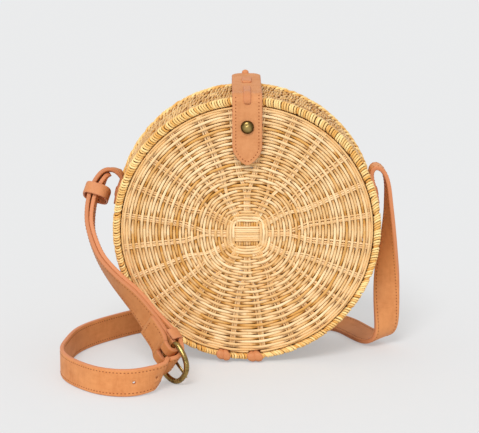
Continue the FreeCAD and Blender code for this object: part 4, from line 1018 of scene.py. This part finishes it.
def punched(shell, track, i, reach, half_long, half_wide):
    """An oval hole through a band. The faces up to the reach along it, next to the middle of each side, are
    taken out, the points round them are joined to an oval of as many points, and a tube joins the ovals."""
    points, faces, uv, tones, edge = shell
    m = BAND_POINTS
    s = lengths(track[0])
    up = np.arange(1 - reach, reach + 1)
    step_i = np.concatenate([[-reach] * 3, up, [reach] * 2, up[::-1][1:]])
    step_j = [[-1, 0, 1], np.ones(2 * reach), [0, -1], -np.ones(2 * reach - 1)]
    step_j = np.concatenate(step_j).astype(int)
    count = len(step_i)
    bearing = np.arctan2(step_j, step_i / reach)
    ahead = half_long * np.cos(bearing)
    aside = -half_wide * np.sin(bearing)
    turn = (np.arange(count) + 1) % count
    inside = np.arange(i - reach + 1, i + reach)
    near_mid = (TOP_MID - 1, TOP_MID, LOW_MID - 1, LOW_MID)
    gone = {int(k) * m + j for k in range(i - reach, i + reach) for j in near_mid}
    new_faces = []
    new_uv = []
    rings = []
    for mid, side in ((TOP_MID, 1), (LOW_MID, -1)):
        at = np.clip(s[i] + ahead, s[0], s[-1])
        p, t, w, n = finer(track, at)
        spots = p + w * (aside * side)[:, None] + n * (side * STRAP_T / 2)
        around = (i + step_i) * m + mid + step_j
        spare = inside * m + mid
        extra = count - len(spare)
        circle = np.concatenate([spare, len(points) + np.arange(extra)])
        points[spare] = spots[: len(spare)]
        points = np.vstack([points, spots[len(spare) :]])
        tones = np.concatenate([tones, np.full(extra, 0.5)])
        edge = np.concatenate([edge, np.zeros(extra)])
        far = np.stack([s[i + step_i], step_j * FACE_STEP + STRAP_W], axis=-1)
        near = np.stack([at, -aside + STRAP_W], axis=-1)
        new_faces += np.stack([around, around[turn], circle[turn], circle], axis=-1).tolist()
        new_uv.append(np.stack([far, far[turn], near[turn], near], axis=1).reshape(-1, 2))
        rings.append(circle)
    upper = rings[0]
    lower = rings[1][(2 - np.arange(count)) % count]
    new_faces += np.stack([upper, upper[turn], lower[turn], lower], axis=-1).tolist()
    new_uv.append(np.tile([s[i], STRAP_W], (4 * count, 1)))
    kept = [k for k in range(len(faces)) if k not in gone]
    first = np.concatenate([[0], np.cumsum([len(face) for face in faces])])
    old_uv = [uv[first[k] : first[k + 1]] for k in kept]
    return points, [faces[k] for k in kept] + new_faces, np.concatenate(old_uv + new_uv), tones, edge


HOLE_R = 1.25
HOLES = ((-81.0, -125.2, 10.4), (-66.5, -116.5, 12.6))
PRONG_SLOT = (5.4, 1.95)
PRONG_OFF = 2.4
FAR_OFF = 99
for place in sorted((nearest(front_run[0], hole) for hole in HOLES), reverse=True):
    front_shell = punched(front_shell, front_run, place, 1, HOLE_R, HOLE_R)
local = front_run[0] - BAR
off_prong = np.abs(local @ END_N + PRONG_OFF)
off_prong += np.where((np.abs(local @ END_W) < 3) & (local @ END_T > 2), 0, FAR_OFF)
front_shell = punched(front_shell, front_run, int(np.argmin(off_prong)), 3, *PRONG_SLOT)
front_nodes = ["strap_tail_top", "strap_long_front"]
front_strap = piece("long_strap_front", front_shell, strap_leather, front_nodes)
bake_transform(front_strap)
back_strap = piece("long_strap_back", band(back_run), strap_leather, ["strap_long_back"])
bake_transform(back_strap)

# Sewing along both edges of the straps, on both faces
SEAM = STRAP_W / 2 - 2.4
ON_FACE = STRAP_T / 2
END_STEPS = 9
FREE_FROM = 16


def seams(track, skip=3.0):
    """Two lines of stitches on each face of a strap."""
    places = [(side * SEAM, face * ON_FACE) for side in (-1, 1) for face in (-1, 1)]
    return [stitches(track, *place, skip=skip) for place in places]


fold_p, fold_t, fold_w, fold_n = (x[-1] for x in fold_out)
across = np.linspace(-SEAM, SEAM, END_STEPS)[:, None]
end_line = fold_p - fold_t * 2.4 + fold_w * across
end_seam = (end_line, *(np.tile(v, (END_STEPS, 1)) for v in (fold_w, fold_t, fold_n)))
fold_seams = seams(fold_out) + [stitches(end_seam, 0.0, face * ON_FACE, skip=0.5) for face in (-1, 1)]
short_sewing = together(seams(cut(main_run, slice(FREE_FROM, None))) + fold_seams)
short_seams = piece("short_strap_sewing", short_sewing, thread)
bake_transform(short_seams)
front_seams = piece("long_strap_front_sewing", together(seams(front_run, 9.0)), thread)
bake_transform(front_seams)
back_seams = piece("long_strap_back_sewing", together(seams(back_run)), thread)
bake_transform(back_seams)

# Closure tab: over the drum's top and down in front of the lid to a rounded point
TAB_REST = 0.25
TAB_BACK_R = 101.354
TAB_STEP = 1.6
TAB_FLATS = 9
FLAP_STEPS = 20
TAB_CURL = 0.6
TAB_BACK_CURL = 1.4
top_front = AXIS_Z + BORDER_R + TAB_REST + TAB_T / 2
top_back = AXIS_Z - BACK_SINK + TAB_BACK_R + TAB_REST + TAB_T / 2
tab_points = [
    (0, BACK_Y + 0.65 + TAB_T / 2, top_back - 6.0),
    (0, BACK_Y + 0.9, top_back - 0.6 + TAB_BOW * 0.5),
    (0, BACK_Y - 3.5, top_back + 0.1 + TAB_BOW),
    (0, BACK_Y - BORDER_DEPTH - 8.0, top_back - 0.3 + TAB_BOW),
    (0, 0, (top_front + top_back) / 2 - 0.3 + TAB_BOW * 0.6),
    (0, FRONT_Y + BORDER_DEPTH + 4.0, top_front),
    (0, FRONT_Y + 3.2, top_front + 0.15),
    (0, FRONT_Y - 0.6, top_front - 0.8),
    (0, TAB_MID_Y + 0.3, ROOT_Z + 3.2),
    (0, TAB_MID_Y, ROOT_Z + 0.4),
]
over_line, over_turn = route(tab_points, [ACROSS_X] * len(tab_points), TAB_STEP)
over_n = track_of(over_line, over_turn)[3]
over_out = over_n * np.sign(over_n @ np.array([0.0, -1.0, 1.0]))[:, None]
shoulder = ROOT_Z - (TAB_LENGTH - TAB_TIP)
tip_a = np.radians(np.linspace(3.0, 89.0, 24))
down = np.linspace(ROOT_Z - 1.0, shoulder, FLAP_STEPS)
flap_z = np.concatenate([down, shoulder - TAB_TIP * np.sin(tip_a)])
flap_half = np.concatenate([np.full(FLAP_STEPS, TAB_W / 2), TAB_W / 2 * np.cos(tip_a) ** 1.45])
flap_line = BACKWARD * TAB_MID_Y + UP * flap_z[:, None]
tab_line = np.vstack([over_line, flap_line])
tab_out = np.vstack([over_out, np.tile(FORWARD, (len(flap_z), 1))])
tab_half = np.concatenate([np.full(len(over_line), TAB_W / 2), flap_half])
tab = track_of(tab_line, ACROSS_X)
tab_outline = band_outline(TAB_W, TAB_T, 0.75, TAB_FLATS)
tab_share = np.stack([tab_half / (TAB_W / 2), np.ones_like(tab_half)], axis=-1)
tab_shape = tab_outline[None] * tab_share[:, None, :]
# Its edges curl down on the top, and more so at the bend behind
tab_far = lengths(tab_line)
back_bend = float(tab_far[: len(over_line)][over_line[:, 1] > BACK_Y - 1.0][-1])
tab_top = np.clip((tab_far - back_bend + 4.0) / 8.0, 0, 1)
tab_top *= np.clip((tab_line[:, 1] - FRONT_Y - 4.0) / 8.0, 0, 1)
tab_curl = TAB_CURL * tab_top + TAB_BACK_CURL * np.exp(-(((tab_far - back_bend - 1.5) / 5.0) ** 2))
tab_side = np.sign(tab[3][len(over_line) // 2, 2])
tab_shape[..., 1] -= tab_side * tab_curl[:, None] * np.abs(tab_outline[None, :, 0] / (TAB_W / 2)) ** 5
tab_shell = carry(tab[0], tab[2], tab[3], tab_shape[None])
tab_shell = (*tab_shell, edge_mask(tab_outline, TAB_W, len(tab_line)))
closure_tab = piece("closure_tab", tab_shell, tab_leather, ["tab_base", "tab_flap"])
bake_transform(closure_tab)
# Its sewing runs down one edge, round the tip and up the other
SEAM_IN = 2.5
flap_rim = np.stack([flap_half, flap_z], axis=-1)
rim_t = unit(np.gradient(flap_rim, axis=0))
flap_seam = flap_rim + np.stack([rim_t[:, 1], -rim_t[:, 0]], axis=-1) * SEAM_IN
flap_seam = flap_seam[(flap_seam[:, 0] > 0.2) & (flap_seam[:, 1] < ROOT_Z)]
over_keep = over_line[:, 1] < FRONT_Y + 0.6
seam_x = np.concatenate([np.full(np.count_nonzero(over_keep), TAB_W / 2 - SEAM_IN), flap_seam[:, 0]])
seam_mid = np.vstack([over_line[over_keep], BACKWARD * TAB_MID_Y + UP * flap_seam[:, 1:]])
seam_out = np.vstack([over_out[over_keep], np.tile(FORWARD, (len(flap_seam), 1))])
seam_aside = ACROSS_X * seam_x[:, None]
seam_path = np.vstack([seam_mid + seam_aside, (seam_mid - seam_aside)[::-1]])
seam_n = np.vstack([seam_out, seam_out[::-1]])
seam_t = headings(seam_path, False)
seam_track = (seam_path, seam_t, np.cross(seam_n, seam_t), seam_n)
tab_stitches = stitches(seam_track, 0.0, TAB_T / 2, pitch=2.45, length=1.4, skip=1.0)
tab_sewing = piece("closure_tab_sewing", tab_stitches, thread)
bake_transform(tab_sewing)

# Lace over the tab: a long stitch over the front bend, a short one and a knot
LACE_T = 1.5
LACE_CORNER = 0.65
LACE_STEPS = 28
KNOT_SIZE = (5.2, 1.7, 0.75)
KNOT_R = 1.9
KNOT_STEPS = 21


def lace_run(begin, end, width):
    """A flat lace on the tab between two lengths along it; its ends are rounded and dip into the tab."""
    at = np.linspace(begin, end, LACE_STEPS)
    far = np.minimum(at - begin, end - at)
    dip = 1 - np.clip(far / 1.6, 0, 1)
    out = unit(read_along(at, tab_far, tab_out))
    raised = read_along(at, tab_far, tab_line) + out * (TAB_T / 2 + 0.65 - dip**2)[:, None]
    line, t, w, n = track_of(raised, ACROSS_X)
    rounded = 1 - 0.4 * (1 - np.clip(far / 1.5, 0, 1)) ** 2
    return strip(line, w, n, (width, LACE_T, LACE_CORNER), narrow=rounded)


on_top = tab_line[:, 2] > top_front - 3.0
lace_y = (FRONT_Y * 0.35, BACK_Y * 0.41, 0.0)
front_begin, mid_begin, mid_end = (np.interp(-y, -tab_line[on_top, 1], tab_far[on_top]) for y in lace_y)
front_lace = lace_run(front_begin, tab_far[len(over_line)] - 1.0, 5.2)
lace_front = piece("lace_stitch_front_band", front_lace, lace_leather, ["lace_stitch_front"])
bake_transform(lace_front)
mid_lace = lace_run(mid_begin, mid_end, 7.2)
piece("lace_stitch_mid_band", mid_lace, lace_leather, ["lace_stitch_mid"], "drum")
knot_a = np.linspace(-0.35, np.pi + 0.35, KNOT_STEPS)
knot_y = BACK_Y - 4.5 - KNOT_R * np.cos(knot_a)
knot_z = top_back + TAB_BOW + TAB_T / 2 + 0.3 + KNOT_R * np.sin(knot_a)
knot_line = np.stack([np.full(KNOT_STEPS, -0.6), knot_y, knot_z], axis=-1)
knot = track_of(knot_line, ACROSS_X)
knot_up = np.sign(knot[3][KNOT_STEPS // 2, 2])
knot_shell = strip(knot[0], knot[2], knot[3], KNOT_SIZE, flats=TAB_FLATS, crown=1.2 * knot_up)
piece("lace_knot_loop", knot_shell, lace_leather, ["lace_knot"], "drum")

# Ties: two turns of lace round the border at the bottom, the lid's hinge
TIE_T = 1.8
TIE_IN = 93.6
TIE_OUT = 101.9
TIE_CORNER = 0.8
TIE_POWER = 0.75
tie_a = angles(48)
tie_mid = (TIE_IN + TIE_OUT) / 2
tie_r = tie_mid + ((TIE_OUT - TIE_IN) / 2 - TIE_T / 2) * squared(np.cos(tie_a), TIE_POWER)
tie_y = front_mid + (BORDER_DEPTH / 2 + 0.1 + TIE_T / 2) * squared(np.sin(tie_a), TIE_POWER)
narrow = 0.6 + 0.4 * np.abs(np.sin(tie_a)) ** 1.2
for name, (turn, width) in zip(("hinge_tie_left", "hinge_tie_right"), TIES):
    bearing = np.radians(turn - 90)
    path = round_axis(tie_r, bearing, tie_y)
    w = outward(bearing + np.pi / 2)
    n = np.cross(headings(path, True), w)
    centre = round_axis(tie_mid, bearing, front_mid)
    away = np.sign(np.mean(np.sum(n * (path - centre), axis=1)))
    size = (width * 0.56, TIE_T, TIE_CORNER)
    turns = []
    for half in (-1, 1):
        aside = half * width * 0.235 * narrow + 0.06 * width * np.cos(tie_a)
        line = path + w * aside[:, None] + n * (away * 0.12 * half)
        turns.append(strip(line, w, n, size, True, narrow, TAB_FLATS, away * 0.7))
    piece(name + "_loop", together(turns), lace_leather, [name], "drum")

# Snap: a dome with a thin rim on the tab, above the plain fittings behind it
CAP_R = 4.9
CAP_H = 3.2
CAP_RIM = 0.75
POST_R = 1.4
cap_y = TAB_BACK_Y - TAB_T - 0.05
dome = np.radians(np.linspace(0, 88, 14))
cap_r = np.concatenate([[POST_R, POST_R, 4.4, CAP_R], CAP_R * 0.99 * np.cos(dome) ** 0.9, [0.05]])
dome_y = cap_y - CAP_RIM - (CAP_H - CAP_RIM) * np.sin(dome)
cap_side = np.concatenate([[TAB_BACK_Y, cap_y, cap_y, cap_y - 0.35], dome_y, [cap_y - CAP_H]])
cap_line = BACKWARD * cap_side[:, None] + UP * SNAP_Z
circle = np.stack([np.cos(angles(40)), np.sin(angles(40))], axis=-1)
# The dome is painted darker towards its rim and paler at the crown: painted shade.
dome_rim_shade = (1.3 * (cap_r / CAP_R) ** 2.4 - 0.1)[None]
cap_shell = carry(cap_line, UP, ACROSS_X, cap_r[:, None, None] * circle[None], tone=dome_rim_shade)
piece("snap_cap_dome", cap_shell, brass, ["snap_cap"], "tab_flap")

# Sliding keeper: a round leather loop about both layers
KEEPER_T = 1.6
KEEPER_W = 9.0
KEEPER_POWER = 2 / 3
KEEP_MID = np.array([-112.9779, -11.8647, 125.0612])
KEEP_T = unit(np.array([-0.2988, -0.4268, -0.8536]))
keeper_at = int(np.argmin(np.abs(fall - 19.0)))
KEEP_W = short[2][keeper_at]
KEEP_W = unit(KEEP_W - KEEP_T * (KEEP_W @ KEEP_T))
KEEP_N = np.cross(KEEP_T, KEEP_W)
semi_w = STRAP_W / 2 + 1.85 + KEEPER_T / 2
semi_n = (2 * STRAP_T + LAYER_GAP) / 2 + 4.9 + KEEPER_T / 2
a = angles(60)
keeper_across = KEEP_W * (semi_w * squared(np.cos(a), KEEPER_POWER))[:, None]
keeper_line = KEEP_MID + keeper_across + KEEP_N * (semi_n * squared(np.sin(a), KEEPER_POWER))[:, None]
keeper_n = np.cross(headings(keeper_line, True), KEEP_T)
keeper_shell = strip(keeper_line, KEEP_T, keeper_n, (KEEPER_W, KEEPER_T, 0.6), True)
piece("keeper_sliding_loop", keeper_shell, lace_leather, ["keeper_sliding"], "keeper")

# Fixed keeper: a band over the tail beside the buckle, sewn to the short strap's edges
LOOP_T = 1.5
LOOP_W = 9.0
LOOP_ROOM = 0.7
loop_half = STRAP_W / 2 + LOOP_ROOM + LOOP_T / 2
loop_deep = TAIL_OFF + TAIL_LIFT + STRAP_T / 2 + LOOP_ROOM + LOOP_T / 2
a = np.linspace(0, np.pi, 41)
d = np.abs(np.sin(a)) ** 0.45
fixed_across = END_W * (loop_half * squared(np.cos(a), 0.35))[:, None]
fixed_depth = END_N * (loop_deep * d - STRAP_T / 2 * (1 - d))[:, None]
fixed_line = END_P + END_T * 3.5 + fixed_across - fixed_depth
fixed_n = np.cross(headings(fixed_line, False), END_T)
fixed_shell = strip(fixed_line, END_T, fixed_n, (LOOP_W, LOOP_T, 0.55))
piece("keeper_fixed_band", fixed_shell, lace_leather, ["keeper_fixed"], "strap_bight")

# Buckle: a half-round frame on a straight bar, with a prong
FRAME_HALF = STRAP_W / 2 + FRAME_ROOM + FRAME_R
BAR_STEPS = 23
ARC_STEPS = 72


def rounded_ring(values):
    """Values round a ring, each set to a mean of itself and its neighbours."""
    return (np.roll(values, 1) + 2 * values + np.roll(values, -1)) / 4


a = np.radians(np.linspace(0, 180, ARC_STEPS))
bar_x = np.linspace(-FRAME_HALF, FRAME_HALF, BAR_STEPS + 2)[1:-1]
ring_x = np.concatenate([bar_x, FRAME_HALF * squared(np.cos(a), 0.8)])
ring_y = np.concatenate([np.zeros(BAR_STEPS), FRAME_DEPTH * np.sin(a) ** 0.7])
for k in range(3):
    ring_x = rounded_ring(ring_x)
    ring_y = rounded_ring(ring_y)
ring_path = (BAR + ring_x[:, None] * END_W + ring_y[:, None] * END_T)[None]
ring_thick = rounded_ring(np.array([BAR_R / FRAME_R] * BAR_STEPS + [1.0] * ARC_STEPS))
ring_shell = strands(ring_path, END_N, 2 * FRAME_R, 2 * FRAME_R, 14, True, 0.1, ends=ring_thick)
piece("buckle_ring", ring_shell, brass, ["buckle_frame"], "buckle")
EYE_R = BAR_R + 0.08 + 0.65
EYE_STEPS = 26
a = np.radians(np.linspace(20, 270, EYE_STEPS))[:, None]
eye = BAR + END_T * (EYE_R * np.cos(a)) + END_N * (EYE_R * np.sin(a))
shank_u = np.linspace(2.0, FRAME_DEPTH + 1.4, 18)[:, None]
shank = BAR + END_T * shank_u - END_N * (EYE_R + (FRAME_R - BAR_R) * shank_u / FRAME_DEPTH)
prong_line = np.vstack([eye, shank])[None]
prong_depth = np.cross(headings(prong_line, False), END_W)
prong_ends = np.concatenate([np.ones(EYE_STEPS), np.linspace(1.0, 0.75, 16), [0.6, 0.3]])
prong_shell = strands(prong_line, prong_depth, 3.0, 1.35, 10, False, 0.1, 0.7, prong_ends)
piece("buckle_prong_pin", prong_shell, brass, ["buckle_prong"], "prong")

# Lace staples that hold the strap's ends to the wall
STAPLE_IN = 93.9
STAPLE_OUT = 102.5
STAPLE_SIZE = (3.0, 0.8, 0.3)
STAPLE_HALF = 4.0
STAPLE_POWER = 0.4
bearing = math.radians(12.5)
a = angles(40)
staple_r = (STAPLE_IN + STAPLE_OUT) / 2
staple_r = staple_r + ((STAPLE_OUT - STAPLE_IN) / 2 - 0.4) * squared(np.cos(a), STAPLE_POWER)
staple_v = STAPLE_HALF * squared(np.sin(a), STAPLE_POWER)
for side, name in ((-1, "strap_stitch_left"), (1, "strap_stitch_right")):
    radial = np.array([side * math.cos(bearing), 0, math.sin(bearing)])
    rise = np.array([-side * math.sin(bearing), 0, math.cos(bearing)])
    path = radial * staple_r[:, None] + rise * staple_v[:, None] + UP * AXIS_Z
    n = np.cross(headings(path, True), BACKWARD)
    staple = strip(path, BACKWARD, n, STAPLE_SIZE, True)
    piece(name + "_lace", staple, lace_leather, [name], "drum")

# Fittings that keep their own solid shape
for node in ("snap_stud", "snap_washer", "snap_socket"):
    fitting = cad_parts[node].data
    fitting.materials.clear()
    fitting.materials.append(brass)

# Floor and backdrop: the camera sees more of the flat backdrop colour than the lights give
BACKDROP = srgb(233, 233, 233)
FLOOR_HALF = 6.0
FLOOR_COLOUR = (0.764, 0.772, 0.78, 1)
FLOOR_SEEN = 0.42
AMBIENT = 0.7
floor_mesh = bpy.data.meshes.new("floor")
floor_corners = [(x * FLOOR_HALF, y * FLOOR_HALF, 0) for x, y in ((-1, -1), (1, -1), (1, 1), (-1, 1))]
floor_mesh.from_pydata(floor_corners, [], [(0, 1, 2, 3)])
floor = show("floor", floor_mesh)
floor_paint = bpy.data.materials.new("Pale floor")
floor_paint.use_nodes = True
tree = floor_paint.node_tree
shader = tree.nodes["Principled BSDF"]
shader.inputs["Base Color"].default_value = FLOOR_COLOUR
shader.inputs["Roughness"].default_value = 0.9
shader.inputs["Specular IOR Level"].default_value = 0.0
seen = add(tree, "ShaderNodeEmission", Color=BACKDROP, Strength=1.0)
ray = tree.nodes.new("ShaderNodeLightPath")
shows = math_node(tree, "MULTIPLY", ray.outputs["Is Camera Ray"], FLOOR_SEEN)
mix_shader(tree, shows, shader, seen, tree.nodes["Material Output"])
floor_mesh.materials.append(floor_paint)

world = bpy.data.worlds.new("studio")
bpy.context.scene.world = world
world.use_nodes = True
tree = world.node_tree
ambient = tree.nodes["Background"]
ambient.inputs["Color"].default_value = (1, 1, 1, 1)
ambient.inputs["Strength"].default_value = AMBIENT
seen = add(tree, "ShaderNodeBackground", Color=BACKDROP, Strength=1.0)
ray = tree.nodes.new("ShaderNodeLightPath")
shows = math_node(tree, "MAXIMUM", ray.outputs["Is Camera Ray"], ray.outputs["Is Glossy Ray"])
shows = math_node(tree, "MAXIMUM", shows, ray.outputs["Is Transmission Ray"])
mix_shader(tree, shows, ambient, seen, tree.nodes["World Output"])

# Two suns: name, energy, width in degrees and the direction towards it
for name, energy, spread, towards in (
    ("key", 1.76, 22, (-0.16, -0.7, 0.7)),
    ("fill", 0.2, 8, (-0.05, -1.0, 0.09)),
):
    light = bpy.data.lights.new(name, "SUN")
    light.energy = energy
    light.angle = math.radians(spread)
    show(name, light).rotation_euler = Vector(towards).to_track_quat("Z", "Y").to_euler()

# Camera, as fitted to the photograph
ELEVATION = math.radians(11.9)
AZIMUTH = math.radians(-0.7)
DISTANCE = 1.4
LENS = 137.76
level = math.cos(ELEVATION)
back = Vector((math.sin(AZIMUTH) * level, -math.cos(AZIMUTH) * level, math.sin(ELEVATION)))
aim = Vector((-0.00535, 0, 0.10415))
camera_data = bpy.data.cameras.new("camera")
camera_data.lens = LENS
camera_data.sensor_width = 36.0
camera_data.clip_start = 0.05
camera_data.clip_end = 30.0
camera = show("camera", camera_data)
camera.location = Vector((0, 0, 0.10265)) + back * DISTANCE
camera.rotation_euler = (camera.location - aim).to_track_quat("Z", "Y").to_euler()
bpy.context.scene.camera = camera
bpy.context.scene.view_settings.view_transform = "Standard"
